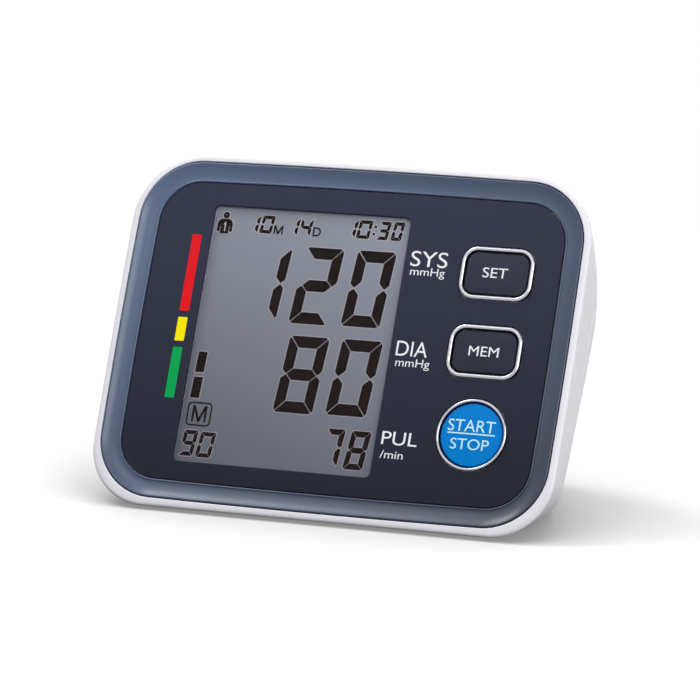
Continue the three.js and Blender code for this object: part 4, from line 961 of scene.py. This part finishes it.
def userSign():
    # head, and a body with its arms apart
    centre, shoulder, armLow = (sign["x"], sign["headY"]), sign["shoulder"], sign["armLow"]
    inner = sign["torso"] + sign["armGap"]
    half = [(sign["torso"], sign["low"]), (sign["torso"], sign["armpit"]), (inner, sign["armpit"]),
            (inner, armLow), (shoulder - 0.1, armLow), (shoulder, armLow + 0.1)]
    half += arc(shoulder - sign["roundX"], sign["top"] - sign["roundY"], sign["roundX"],
                sign["roundY"], 0, 1, 8)
    outline = half + [(-x, y) for x, y in reversed(half)]
    lcdInk("userFigure",
           [[(sign["x"] + x, y) for x, y in outline], circle(sign["head"], 32, centre)])
    lcdHalo("userHalo", [circle(sign["head"] + lcd["haloWidth"], 32, centre),
                         [(sign["x"] + x * 1.1, y + (0.25 if y > 32 else -0.25))
                          for x, y in outline[5:-5]]])
    inkPlate("userFace",
             [circle(sign["hole"], 20, centre), [(sign["x"] + x, y) for x, y in sign["mark"]]],
             lcd["level"] + lcd["ink"], 0.01, haloInk)


memoryBox = {"left": -43.2, "right": -35.7, "low": -27.4, "high": -20.4, "corner": 1.35,
             "line": 0.45}


def memorySign():
    # a drawn box with rounded corners
    left, right, low, high, corner, line = memoryBox.values()
    halfWidth, halfHeight, level = (right - left) / 2, (high - low) / 2, lcd["level"]
    centre, top = ((left + right) / 2, (low + high) / 2), level + lcd["ink"]
    outer, inner = (roundedOutline(halfWidth - inset, halfHeight - inset, corner - inset, 8,
                                   centre=centre) for inset in (0, line))
    rings = [ringAt(outer, level), ringAt(outer, top), ringAt(inner, top), ringAt(inner, level)]
    flat(skin("memoryBox", rings, True), segmentInk, angle=20)


def capitalM(left, right, low, high, stem):
    middle = (left + right) / 2
    half = [(left, low), (left + stem, low), (left + stem, high - 2.2 * stem),
            (middle - stem / 2, low)]
    return half + [(2 * middle - x, y) for x, y in reversed(half)] + [
        (right, high), (right - 1.1 * stem, high), (middle, low + 1.9 * stem),
        (left + 1.1 * stem, high), (left, high)]


def capitalD(left, right, low, high, stem, slit=0.02):
    # one loop: round the outside, through a hair-wide slit and round the inside
    def bowl(inset):
        reach, rise = (right - left) * 0.6 - inset, (high - low) / 2 - inset
        return arc(right - inset - reach, (low + high) / 2, reach, rise, -1, 1, 12)
    outside = [(left, low)] + bowl(0) + [(left, high), (left, low + slit)]
    inside = [(left + stem, low + stem + slit), (left + stem, high - stem)] + bowl(stem)[::-1]
    return outside + inside + [(left + stem, low + stem)]


userSign()
memorySign()
lcdInk("lcdMonth", [capitalM(-26.3, -23.5, 30.2, 32.8, 0.42)])
lcdInk("lcdDay", [capitalD(-14.35, -11.9, 30.3, 33.0, 0.45)])
lcdInk("lcdMemory", [capitalM(-41.6, -37.2, -26.2, -21.4, 0.66)])

# Words: text, box = (left, right, low, high), ink, and the button that carries them
letters = {"size": 4, "smoothness": 6, "panelOffset": -0.004, "panelInk": 0.03, "capInk": 0.08}
setButton, memButton, startButton = buttons
words = {
    "wordSys": ("SYS", (16.9, 27.9, 23.3, 27.8), whiteInk, None),
    "unitSys": ("mmHg", (17.3, 27.6, 20.0, 23.0), whiteInk, None),
    "wordDia": ("DIA", (16.9, 26.2, -2.7, 1.6), whiteInk, None),
    "unitDia": ("mmHg", (17.3, 27.4, -6.5, -3.4), whiteInk, None),
    "wordPul": ("PUL", (16.9, 27.4, -28.3, -24.5), whiteInk, None),
    "unitPul": ("/min", (17.1, 23.9, -32.2, -29.9), whiteInk, None),
    "wordSet": ("SET", (38.85, 46.2, 21.4, 24.3), whiteInk, setButton),
    "wordMem": ("MEM", (38.4, 47.2, -1.2, 1.6), whiteInk, memButton),
    "wordStart": ("START", (35.8, 49.6, -22.8, -19.4), paleInk, startButton),
    "wordStop": ("STOP", (37.2, 48.5, -27.9, -24.8), paleInk, startButton),
}


def onButton(button):
    # body and slot of what is printed on a cap, or on the panel
    return {"body": button["name"] + "_key", "slot": slotOf[button["paint"].name]} if button else {}


def wording(name, text, box, finish, button):
    # letters of Blender's own font, fitted into their box
    data = bpy.data.curves.new(name, "FONT")
    data.body, data.size, data.resolution_u = text, letters["size"], letters["smoothness"]
    data.offset = 0.0 if button else letters["panelOffset"]
    thickness = letters["capInk"] if button else letters["panelInk"]
    data.extrude = thickness / 2
    maker = bpy.data.objects.new(name + "Maker", data)
    collection.objects.link(maker)
    depsgraph = bpy.context.evaluated_depsgraph_get()
    mesh = bpy.data.meshes.new_from_object(maker.evaluated_get(depsgraph))
    bpy.data.objects.remove(maker)
    mesh.name = name
    xs, ys = [vertex.co.x for vertex in mesh.vertices], [vertex.co.y for vertex in mesh.vertices]
    left, right, low, high = box
    scaleX, scaleY = (right - left) / (max(xs) - min(xs)), (high - low) / (max(ys) - min(ys))
    level = 0 if button else panelTop
    toBox = Matrix.Translation((left, low, level + thickness / 2))
    fitted = Matrix.Diagonal((scaleX, scaleY, 1, 1))
    mesh.transform(toBox @ fitted @ Matrix.Translation((-min(xs), -min(ys), 0)))
    if button:
        for vertex in mesh.vertices:
            vertex.co.z += crownAt(button, vertex.co.x, vertex.co.y)
    piece = bpy.data.objects.new(name, mesh)
    collection.objects.link(piece)
    flat(piece, finish, angle=20, **onButton(button))


for name, (text, box, finish, button) in words.items():
    wording(name, text, box, finish, button)

dividingLine = {"left": 35.9, "right": 49.8, "low": -23.55, "high": -23.15, "halfInk": 0.04,
                "steps": 24}


def startLine():
    # follows the crown of the start cap
    left, right, low, high, halfInk, steps = dividingLine.values()
    rings = []
    for step in range(steps + 1):
        x = left + (right - left) * step / steps
        z = crownAt(startButton, x, (low + high) / 2)
        rings.append([(x, low, z - halfInk), (x, high, z - halfInk), (x, high, z + halfInk),
                      (x, low, z + halfInk)])
    flat(skin("startLine", rings), paleInk, body="start_key")


bar = {"x": -48.85, "halfWidth": 1.45, "corner": 0.3, "ink": 0.03}
barRanges = {"barHigh": (redInk, 5.45, 28.15), "barMiddle": (yellowInk, -3.4, 3.6),
             "barNormal": (greenInk, -20.1, -5.25)}

startLine()
for name, (finish, low, high) in barRanges.items():
    outline = roundedOutline(bar["halfWidth"], (high - low) / 2, bar["corner"], 4,
                             centre=(bar["x"], (low + high) / 2))
    inkPlate(name, [outline], panelTop, bar["ink"], finish)
print("lettering ready")

# Base pieces
rib = {"count": 3, "halfWidth": 5.5, "first": 1.2, "width": 0.7, "pitch": 1.5, "low": 0.4,
       "high": 1.2}
footProfile = [(0, -0.75), (2.9, -0.75), (3.1, -0.8), (3.3, -1), (4.3, -1), (4.75, -0.85),
               (5, -0.4), (5, 0.6), (0, 0.6)]


def batteryDoor():
    # a plate whose rear edge is round about the hinge line, with ribs in its finger hollow
    halfWidth, hingeY = bay["halfWidth"] - bay["doorGap"], doorRear - bay["doorGap"] - 1
    outline = [(doorFront + 0.25, 0), (hingeY, 0)] + arc(hingeY, 1, 1, 1, -1, 1, 12)[1:-1]
    outline += [(hingeY, 2), (doorFront, 2), (doorFront, 0.25)]
    piece = skin("batteryDoor", [[(x, y, z) for y, z in outline] for x in (-halfWidth, halfWidth)])
    carve(piece, "DIFFERENCE", fingerHollow())
    starts = [doorFront + rib["first"] + rib["pitch"] * index for index in range(rib["count"])]
    carve(piece, "UNION",
          *(block("rib", -rib["halfWidth"], rib["halfWidth"], start, start + rib["width"],
                  rib["low"], rib["high"]) for start in starts))
    finished(piece, housingPlastic, baseFrame, "door", ["battery_door"], angle=30)


batteryDoor()
for name, (x, y) in footPlaces.items():
    piece = turned("foot_" + name + "_pad", footProfile, 64, "Z", (x, y, 0))
    finished(piece, rubberFoot, baseFrame, stands=["foot_" + name])

# Inner pieces, finer than their CAD nodes and in the same places
screw = {"thread": 0.14, "pitch": 0.5, "crossReach": 0.66, "crossWidth": 0.12, "crossDepth": 0.5,
         "dome": 0.45}
boardScrew = {"headRadius": 2, "headHeight": 1.2, "radius": 1, "length": 6, "back": -14.7}
housingScrew = {"headRadius": 2.6, "headHeight": 1.8, "radius": 1.4, "length": 9, "back": -19.4}


def screwOf(name, sizes, x, y):
    # pan head with a cross recess and a threaded shank
    radius, back, high = sizes["headRadius"], sizes["back"], sizes["back"] + sizes["headHeight"]
    shank, dome = sizes["radius"], screw["dome"] * sizes["headHeight"]
    profile = arc(0, back + dome, radius, dome, -1, 0, 8)
    profile += [(radius, high - 0.1), (radius - 0.1, high), (shank, high)]
    level, end = high + 0.3, high + sizes["length"]
    while level < end - screw["pitch"]:
        profile += [(shank - screw["thread"], level), (shank, level + screw["pitch"] / 2)]
        level += screw["pitch"]
    piece = turned(name + "Piece", profile + [(shank * 0.6, end), (0, end)], 40, "Z", (x, y, 0))
    reach, width = screw["crossReach"] * radius, screw["crossWidth"] * radius
    deep = back + screw["crossDepth"] * sizes["headHeight"]
    carve(piece, "DIFFERENCE", block("slot", *around(x, y, reach, width, back - 1, deep)),
          block("slot", *around(x, y, width, reach, back - 1.1, deep - 0.02)))
    finished(piece, steelSheet, stands=[name], angle=40)


for kind, sizes, spots in (("board", boardScrew, boardScrewPlaces),
                           ("housing", housingScrew, screwPlaces)):
    for index, (x, y) in enumerate(spots):
        screwOf(kind + "_screw_" + str(index + 1), sizes, x, y)


def cellX(number):
    return (number - 1.5) * cell["pitch"]


def cellOf(index):
    # steel can with its nub, a wrap over it and a pale band near the nub end
    springInFront = index % 2 == 0
    front = bay["front"] + cell["plate"] + (3 * gap + cell["spring"] if springInFront else 2 * gap)
    radius, rim, shoulder = cell["radius"], cell["rim"], cell["length"] - cell["nubLength"]
    inner, nub, length = radius - cell["wrap"], cell["nubRadius"], cell["length"]
    can = [(0, 0.15), (3.2, 0.15), (3.5, 0)] + arc(inner - rim, rim, rim, rim, -1, 0, 4)
    can += arc(inner - rim, shoulder - rim, rim, rim, 0, 1, 4)
    can += [(nub + 0.9, shoulder), (nub + 0.7, shoulder - 0.15), (nub + 0.2, shoulder - 0.15),
            (nub, shoulder + 0.05), (nub, length - 0.2), (nub - 0.2, length), (0, length)]
    sleeve = [(inner - 0.05, 0.75), (inner + 0.03, 0.6), (radius, 0.9), (radius, shoulder - 0.9),
              (inner + 0.03, shoulder - 0.6), (inner - 0.05, shoulder - 0.75), (inner - 0.05, 0.75)]
    low, high = cell["bandFrom"], cell["bandTo"]
    band = [(radius - 0.05, low), (radius + 0.01, low), (radius + 0.01, high),
            (radius - 0.05, high), (radius - 0.05, low)]
    number = str(index + 1)
    for name, profile, finish, slot, stands in (
            ("cellCan", can, steelSheet, "steel", ["battery_cell_" + number]),
            ("cellSleeve", sleeve, cellWrap, "cell_wrap", []),
            ("cellBand", band, whiteInk, "cell_wrap", [])):
        heights = [(r, h if springInFront else length - h) for r, h in profile]
        piece = turned(name + number, heights, 64, "Y", (cellX(index), front, cell["level"]))
        finished(piece, finish, baseFrame, stands=stands, slot=slot)


contact = {"half": 4, "corner": 1, "edge": 0.08,
           "dimple": [(0, 0.2), (0.8, 0.16), (1.3, 0.06), (1.6, -0.1), (0, -0.15)]}
contacts = {"contact_negative": ([0], False, None), "contact_front_link": ([1, 2], False, 1),
            "contact_positive": ([3], False, 3), "contact_rear_link_left": ([0, 1], True, 0),
            "contact_rear_link_right": ([2, 3], True, 2)}


def contactOf(name, cells, rear, nub):
    # spring steel plate with rounded corners and a dimple where a nub rests
    half, edge, plate = contact["half"], contact["edge"], cell["plate"]
    centre = (sum(cellX(number) for number in cells) / len(cells), cell["level"])
    halfWidth = (cells[-1] - cells[0]) * cell["pitch"] / 2 + half
    low = bayRear - gap - plate if rear else bay["front"] + gap
    rings = []
    for inset, y in ((edge, low), (0, low + edge), (0, low + plate - edge), (edge, low + plate)):
        outline = roundedOutline(halfWidth - inset, half - inset, contact["corner"], 6,
                                 centre=centre)
        rings.append([(x, y, z) for x, z in outline])
    piece = skin(name + "Plate", rings)
    if nub is not None:
        side, face = (-1, low) if rear else (1, low + plate)
        dome = [(radius, face + side * height) for radius, height in contact["dimple"]]
        carve(piece, "UNION", turned("dimple", dome, 40, "Y", (cellX(nub), 0, cell["level"])))
    finished(piece, ringChrome, baseFrame, stands=[name], slot="steel")


for index in range(4):
    cellOf(index)
for name, (cells, rear, nub) in contacts.items():
    contactOf(name, cells, rear, nub)
print("cells and screws ready")

board = {"top": -11.6, "back": -13.2, "halfWidth": 48.6, "low": -28, "high": 34.19, "corner": 3,
         "edge": 0.08, "hole": 1.3, "traceWidth": 0.35}
partBack = board["back"] - gap


def mainBoard():
    middle, half = (board["low"] + board["high"]) / 2, (board["high"] - board["low"]) / 2
    outline = roundedOutline(board["halfWidth"], half, board["corner"], 6, centre=(0, middle))
    holes = [circle(board["hole"], 32, place) for place in boardScrewPlaces]
    piece = plateWithHoles("boardPlate", outline, holes, board["back"], board["top"], board["edge"])
    finished(piece, laminateGreen, stands=["main_board"])


def traceLoops(paths):
    # strips of even width along broken lines
    half, loops = board["traceWidth"] / 2, []
    for path in paths:
        for (x0, y0), (x1, y1) in zip(path, path[1:]):
            reach = math.hypot(x1 - x0, y1 - y0)
            px, py = -(y1 - y0) / reach * half, (x1 - x0) / reach * half
            loops.append([(x0 - px, y0 - py), (x1 - px, y1 - py), (x1 + px, y1 + py),
                          (x0 + px, y0 + py)])
    return loops


def boardDetails():
    # copper runs, small parts and pads on the rear of the board
    back, paths = board["back"], []
    for number in range(8):
        spread, step, drop = number * 1.25 - 4.4, number * 0.9, number * 0.5
        right, low = 12 + number * 0.7, 2 - number * 0.8
        paths += [
            [(-4.2, 14 + spread), (-9 - step, 14 + spread), (-14 - step, 19 + spread * 0.6),
             (-31, 19 + spread * 0.6)],
            [(8.2, 14 + spread), (right, 14 + spread), (right, low), (40, low - 4)],
            [(2 + spread, 7.8), (2 + spread, 2 - drop), (-10 + spread * 1.5, -8 - drop),
             (-10 + spread * 1.5, -22)],
        ]
    inkPlate("boardTraces", traceLoops(paths), back - 0.02, 0.03, traceCopper)
    spots = [(x, y) for x in (-40, -36, -32, -28) for y in (-6, -10, -14)]
    spots += [(15, y) for y in (20, 23, 26)] + [(-14 + step * 3, 24) for step in range(6)]
    spots += [(30, -10), (34, -10), (38, -10), (30, -14), (34, -14)]
    bodies = [around(x, y, 0.6, 0.6, back - 0.5, back + 0.01) for x, y in spots]
    ends = [around(x + side * 0.85, y, 0.27, 0.62, back - 0.52, back + 0.01) for x, y in spots
            for side in (-1, 1)]
    flat(boxes("boardParts", bodies), blackPlastic)
    flat(boxes("boardPartEnds", ends), steelSheet)


chip = {"x": 2, "y": 14, "half": 5, "pitch": 0.8, "height": 1.6}


def controllerChip():
    x, y, half, pitch, height = chip.values()
    low, high = partBack - height, partBack
    finished(block("chipBody", *around(x, y, half, half, low, high - 0.15), 0.25), blackPlastic,
             stands=["controller_chip"])
    legs = []
    for number in range(-5, 6):
        for side in (-1, 1):
            across, out = number * pitch, side * (half + 0.5)
            legs += [around(x + out, y + across, 0.5, 0.16, high - 0.2, high),
                     around(x + across, y + out, 0.16, 0.5, high - 0.2, high)]
    flat(boxes("chipLegs", legs), steelSheet)
    inkPlate("chipMark", [circle(0.45, 24, (x - 4, y + 4))], low - 0.01, 0.02, whiteInk,
             "black_plastic")


switch = {"half": 3, "coverHalf": 2.9, "base": 2.8, "cover": 3.1, "stemRadius": 1.75, "stem": 4}


def tactSwitch(name, y):
    x, low = keysX, board["top"] + gap
    half, coverHalf, base, cover, radius, stemTop = switch.values()
    corners = [(side, up) for side in (-1, 1) for up in (-1, 1)]
    finished(block(name + "SwitchBase", *around(x, y, half, half, low, low + base), 0.2),
             blackPlastic, stands=[name + "_switch"])
    finished(block(name + "SwitchCover",
                   *around(x, y, coverHalf, coverHalf, low + 2.6, low + cover), 0.15),
             steelSheet)
    legs = [around(x + side * 2.2, y + up * 2.2, 0.25, 0.25, low + 3, low + 3.2)
            for side, up in corners]
    legs += [around(x + side * 3.05, y + up * 2, 0.15, 0.35, low - 0.3, low + 1.2)
             for side, up in corners]
    flat(boxes(name + "SwitchLegs", legs), steelSheet)
    stem = [(0, low + 1.5), (radius, low + 1.5), (radius, low + 3.85), (1.6, low + stemTop),
            (0, low + stemTop)]
    finished(turned(name + "SwitchStem", stem, 40, "Z", (x, y, 0)), blackPlastic)


barb = {"radius": 1, "length": 4, "root": 0.6, "ridges": (0.82, 0.55, 0.28)}


def barbOf(name, finish, axis, place, space=baseFrame, outward=-1):
    # a ridged barb for a hose, from its tip to its root
    radius, length = barb["radius"], barb["length"]
    points = [(0, -length), (radius * 0.72, -length)]
    for share in barb["ridges"]:
        points += [(radius, -length * share), (radius * 0.8, -length * (share - 0.03))]
    points += [(radius * 0.95, 0), (radius * 0.95, barb["root"]), (0, barb["root"])]
    finished(turned(name, [(r, -outward * h) for r, h in points], 32, axis, place), finish, space)


sensor = {"x": -38, "low": 21.99, "high": 30.99, "halfWidth": 5, "depth": 4, "pitch": 2.5}
sensorMiddle = partBack - sensor["depth"] / 2


def pressureSensor():
    x, low, high = sensor["x"], partBack - sensor["depth"], partBack
    half = sensor["halfWidth"]
    finished(block("sensorBody", x - half, x + half, sensor["low"], sensor["high"], low, high, 0.4),
             blackPlastic, stands=["pressure_sensor"])
    finished(block("sensorLid", x - 4.3, x + 4.3, 22.7, 30.3, low - 0.02, low + 0.3, 0.12),
             steelSheet)
    barbOf("sensorBarb", blackPlastic, "Y", (x, sensor["low"], sensorMiddle), faceFrame)
    spots = [x + number * sensor["pitch"] for number in (-1, 0, 1)]
    legs = [(spot - 0.3, spot + 0.3, 30.9, 31.6, high - 0.3, high) for spot in spots]
    flat(boxes("sensorLegs", legs), steelSheet)


sounder = {"x": 30, "y": 19.99, "height": 5}


def buzzer():
    low, high = partBack - sounder["height"], partBack
    profile = [(0, low + 2.5), (1.2, low + 2.5), (1.2, low + 0.15), (1.35, low), (2.2, low),
               (2.4, low + 0.15), (5.3, low + 0.15), (5.6, low), (5.85, low + 0.1), (6, low + 0.4),
               (6, high - 0.9), (5.8, high - 0.8), (5.8, high), (0, high)]
    place = (sounder["x"], sounder["y"], 0)
    finished(turned("buzzerCan", profile, 64, "Z", place), blackPlastic, stands=["buzzer"])


mainBoard()
boardDetails()
controllerChip()
for button in buttons:
    tactSwitch(button["name"], button["y"])
pressureSensor()
buzzer()
print("board ready")


def pumpPieces():
    left, length, spread = pump["motorLeft"], pump["motorLength"], pump["terminalSpread"]
    y, z = pump["axisY"], pump["axisZ"]
    motor, head = (left, y, z), (pump["headLeft"], y, z)
    can = [(1.3, 0), (3.6, 0), (4, 0.4), (4, 2), (10.6, 2), (11.5, 2.3), (12, 3.2), (12, 8),
           (11.7, 8.2), (11.7, 9), (12, 9.2), (12, length - 3), (11.8, length - 2.6),
           (11.4, length - 2.4), (1.3, length - 2.4), (1.3, 0)]
    end = [(1.3, length - 2.6), (11.2, length - 2.6), (11.2, length - 0.4), (10.8, length),
           (4, length), (3.6, length - 0.5), (1.3, length - 0.5), (1.3, length - 2.6)]
    drum = [(0, 0), (10.2, 0), (11, 0.3), (12, 1.6), (12, 4.6), (11.6, 4.9), (11.6, 6.3), (12, 6.6),
            (12, 11.4), (11.6, 11.7), (11.6, 12.5), (12, 12.8), (12, 17), (9.5, 17), (9.5, 7),
            (0, 7)]
    seal = [(11.4, 5), (11.85, 5.1), (11.95, 5.6), (11.85, 6.1), (11.4, 6.2), (11.4, 5)]
    for name, profile, place, finish, stands in (
            ("motorCan", can, motor, steelSheet, ["pump_motor"]),
            ("motorEnd", end, motor, blackPlastic, []),
            ("headDrum", drum, head, naturalPlastic, ["pump_head"]),
            ("headSeal", seal, head, rubberFoot, [])):
        finished(turned(name, profile, 96, "X", place), finish, baseFrame, stands=stands)
    tail = left + length
    blades = [(tail - 0.6, tail + 2.5, y - 0.6, y + 0.6, z + up - 0.25, z + up + 0.25)
              for up in (-spread, spread)]
    flat(boxes("motorBlades", blades), brassMetal, baseFrame)
    barbOf("headBarb", naturalPlastic, "X", (head[0], y, z - pump["outletDrop"]))
    stud = [(0, -0.35), (0.9, -0.3), (1.3, -0.05), (1.3, 0.5), (0, 0.5)]
    for number in range(3):
        angle = math.radians(90 + 120 * number)
        place = (head[0], y + 8 * math.cos(angle), z + 8 * math.sin(angle))
        finished(turned("headScrew" + str(number + 1), stud, 32, "X", place), steelSheet, baseFrame)


valve = {"x": -4, "y": 28.45, "z": 51.5, "halfLength": 8}


def valvePieces():
    # coil block between two steel plates
    x, y, z, half = valve.values()
    body = block("valveCoil", x - half, x + half, y - 4.75, y + 4.75, z - 4.3, z + 4.3, 0.7)
    carve(body, "DIFFERENCE", rod("bore", 1.9, x - 1, x + half + 3, 40, "X", (0, y, z)))
    finished(body, blackPlastic, baseFrame, stands=["valve_body"])
    yoke = [around(x, y, 7.6, 4, z + side * 4.45 - 0.3, z + side * 4.45 + 0.3) for side in (-1, 1)]
    flat(boxes("valveYoke", yoke), steelSheet, baseFrame)
    barbOf("valveBarb", blackPlastic, "X", (x - half, y, z))


socketBack = socketLow.x + 14


def airSocket():
    # a round mouth with a soft rim and a stepped bore, at the left end of the housing
    outer, flange = socketLow.x, port["bossDepth"] - faceWidth / 2 + gap
    profile = [(0, outer + 12), (2.2, outer + 12), (2.2, outer + 8), (2.9, outer + 7.4),
               (3.15, outer + 7), (3.15, outer + 0.5), (3.3, outer + 0.12), (3.7, outer),
               (5.2, outer), (5.75, outer + 0.2), (6, outer + 0.7), (6, flange), (7.8, flange),
               (8, flange + 0.2), (8, flange + 1.6), (7.8, flange + 1.8), (4.5, flange + 1.8),
               (4.5, socketBack - 0.3), (4.2, socketBack), (0, socketBack)]
    finished(turned("socketBody", profile, 72, "X", (0, socketCentre.y, socketCentre.z)),
             blackPlastic, baseFrame, stands=["air_socket"])
    barbOf("socketBarb", blackPlastic, "X", (socketBack, socketCentre.y, socketCentre.z), outward=1)


def mainsInlet():
    # socket for a round plug: body, spring sleeve and centre pin
    low, high, mouth = inletLow, inletHigh, (inletCentre.x, inletHigh.y, inletCentre.z)
    body = block("inletBody", low.x, high.x, low.y, high.y, low.z, high.z, 0.5)
    bore = [(0, -9), (2.9, -9), (2.9, -0.5), (3.4, 0), (3.4, 3), (0, 3)]
    sleeve = [(3.1, -8.6), (2.7, -8.5), (2.7, -3.2), (3.1, -3), (3.1, -8.6)]
    pin = [(0, -9.3), (0.9, -9.3), (0.9, -0.9), (0.6, -0.4), (0, -0.3)]
    carve(body, "DIFFERENCE", turned("bore", bore, 48, "Y", mouth))
    finished(body, blackPlastic, baseFrame, stands=["mains_inlet"])
    finished(turned("inletSleeve", sleeve, 48, "Y", mouth), steelSheet, baseFrame)
    finished(turned("inletPin", pin, 32, "Y", mouth), ringChrome, baseFrame)


pumpPieces()
valvePieces()
airSocket()
mainsInlet()
print("pump and sockets ready")

hose = {"radius": 2.1, "bore": 1.3, "lead": 4, "arm": 4.9, "swell": 0.12, "sides": 32,
        "bendSteps": 25}
wire = {"radius": 0.6, "sides": 20, "landingX": 26.5, "terminalEnd": 22.8}


def route(start, outward, end, arriving):
    # straight off both ends, with one smooth bend between
    start, outward, end, arriving = Vector(start), Vector(outward), Vector(end), Vector(arriving)
    lead = hose["lead"]
    leaving, entering = start + outward * lead, end + arriving * lead
    span = (entering - leaving).length / 3
    bend = interpolate_bezier(leaving, leaving + outward * span, entering + arriving * span,
                              entering, hose["bendSteps"])
    straight = [start + outward * lead * step / 4 for step in range(4)]
    return straight + bend + [end + arriving * lead * step / 4 for step in (3, 2, 1, 0)]


def airLine():
    low, high = portBox("air_manifold")
    x, y, z, arm = (low.x + high.x) / 2, socketCentre.y, socketCentre.z, hose["arm"]
    sensorRoot = faceToBase @ Vector((sensor["x"], sensor["low"] - gap, sensorMiddle))
    downSlope = faceToBase.to_3x3() @ Vector((0, -1, 0))
    routes = {
        "socket": ((socketBack + gap, y, z), (1, 0, 0), (x - arm, y, z), (-1, 0, 0)),
        "pump": ((pump["headLeft"] - gap, pump["axisY"], pump["axisZ"] - pump["outletDrop"]),
                 (-1, 0, 0), (x, y, z - arm), (0, 0, -1)),
        "valve": ((valve["x"] - valve["halfLength"] - gap, valve["y"], valve["z"]), (-1, 0, 0),
                  (x + arm, y, z), (1, 0, 0)),
        "sensor": (sensorRoot, downSlope, (x, y, z + arm), (0, 0, 1)),
    }
    for name, ends in routes.items():
        piece = tube(name + "Hose", route(*ends), hose["radius"], hose["sides"], hose["bore"],
                     hose["swell"])
        finished(piece, siliconeHose, baseFrame, stands=[name + "_hose"], angle=60)


def motorWires():
    backward = faceToBase.to_3x3() @ Vector((0, 0, -1))
    for name, side, finish in (("positive", 1, redWire), ("negative", -1, blackWire)):
        spread = side * pump["terminalSpread"]
        landing = faceToBase @ Vector((wire["landingX"], spread, partBack))
        path = route((wire["terminalEnd"], pump["axisY"], pump["axisZ"] + spread), (1, 0, 0),
                     landing, backward)
        finished(tube(name + "Wire", path, wire["radius"], wire["sides"]), finish, baseFrame,
                 stands=["pump_wire_" + name], angle=60)


airLine()
motorWires()
print("hoses and wires ready")

dress(steelSheet, *("battery_spring_" + str(number) for number in range(1, 5)), "valve_plunger")
dress(naturalPlastic, "display_frame", "air_manifold")
dress(rubberFoot, "display_connector")
dress(brassMetal, "pump_crank")
print("base ready")

# Floor, room and lamps
# the floor's shade reach and depth set a painted shade close to the object
stage = {"size": 6.0, "floorShade": 0.76, "floorBounce": 0.12, "floorGlow": 0.26,
         "floorMirrored": 0.8, "paintedShadeReach": 0.085, "paintedShadeDepth": 1.25, "fadeFrom": 0.2,
         "fadeTo": 0.5, "worldLight": 0.36}
lamps = [
    {"name": "frontLamp", "place": (0.52, -0.6, 0.52), "size": (0.36, 0.36), "power": 2.7},
    {"name": "topLamp", "place": (-0.21, -0.36, 0.62), "size": (0.6, 0.3), "power": 1.0},
    {"name": "highLamp", "place": (-0.55, 0.06, 0.9), "size": (0.36, 0.36), "power": 4.4},
    {"name": "rightLamp", "place": (0.95, -0.2, 0.33), "size": (0.8, 0.7), "power": 3.8},
    {"name": "backLamp", "place": (0.1, 0.6, 1.15), "size": (0.8, 0.6), "power": 4.2},
]
aim = Vector((0, 0, 0.05))
white = (1, 1, 1, 1)


def seenDirectly(tree, mirrored=1.0):
    # 1 for what the camera and glass see, 0 for light that falls on the object
    path = addNode(tree, "LightPath").outputs
    gloss = mathNode(tree, "MULTIPLY", path["Is Glossy Ray"], mirrored)
    seen = mathNode(tree, "MAXIMUM", path["Is Camera Ray"], gloss)
    return mathNode(tree, "MAXIMUM", seen, path["Is Transmission Ray"])


def addStage():
    mesh, size = bpy.data.meshes.new("floor"), stage["size"]
    corners = [(-size, -size, 0), (size, -size, 0), (size, size, 0), (-size, size, 0)]
    mesh.from_pydata(corners, [], [(0, 1, 2, 3)])
    floor = bpy.data.objects.new("floor", mesh)
    collection.objects.link(floor)
    material, tree, shader = newMaterial("paleFloor", "floor")
    # pale to look at, but it throws less light back up,
    # and a painted soft shade, from ambient occlusion, darkens its colour close to the object
    seen = seenDirectly(tree, stage["floorMirrored"])
    pale = addNode(tree, "MapRange",
                   {"Value": seen, "To Min": stage["floorBounce"], "To Max": stage["floorShade"]})
    near = addNode(tree, "AmbientOcclusion", {"Distance": stage["paintedShadeReach"]}, samples=16)
    paintedContactShade = mathNode(tree, "POWER", near.outputs["AO"], stage["paintedShadeDepth"])
    feed(tree, shader, {
        "Roughness": 0.8, "Specular IOR Level": 0.1, "Emission Color": white,
        "Base Color": mathNode(tree, "MULTIPLY", pale.outputs["Result"], paintedContactShade),
        "Emission Strength": mathNode(tree, "MULTIPLY", seen, stage["floorGlow"])})
    # away from the object the floor turns into the white of the room
    place = addNode(tree, "TexCoord").outputs["Object"]
    distance = addNode(tree, "VectorMath", {0: place}, operation="LENGTH").outputs["Value"]
    away = addNode(tree, "MapRange",
                   {"Value": distance, "From Min": stage["fadeFrom"], "From Max": stage["fadeTo"]},
                   interpolation_type="SMOOTHSTEP")
    share = mathNode(tree, "MULTIPLY", away.outputs["Result"], seen)
    glow = addNode(tree, "Emission").outputs[0]
    mix = addNode(tree, "MixShader", {0: share, 1: shader.outputs[0], 2: glow})
    feed(tree, tree.nodes["Material Output"], {"Surface": mix.outputs[0]})
    mesh.materials.append(material)
    floor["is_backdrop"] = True


def addWorld():
    world = bpy.data.worlds.new("studio")
    scene.world = world
    world.use_nodes = True
    tree = world.node_tree
    strength = addNode(tree, "MapRange",
                       {"Value": seenDirectly(tree), "To Min": stage["worldLight"], "To Max": 1.0})
    feed(tree, tree.nodes["Background"], {"Color": white, "Strength": strength.outputs["Result"]})


def addLamps():
    for lamp in lamps:
        data = bpy.data.lights.new(lamp["name"], "AREA")
        data.shape, data.energy = "RECTANGLE", lamp["power"]
        data.size, data.size_y = lamp["size"]
        made = bpy.data.objects.new(lamp["name"], data)
        collection.objects.link(made)
        made.location = lamp["place"]
        made.rotation_euler = (aim - made.location).to_track_quat("-Z", "Y").to_euler()


addStage()
addWorld()
addLamps()
scene.view_settings.view_transform = "Standard"
print("stage ready")

sizes = {"cad": cadBox, "visual": [list(corner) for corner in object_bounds()]}
print("size:", sizes)
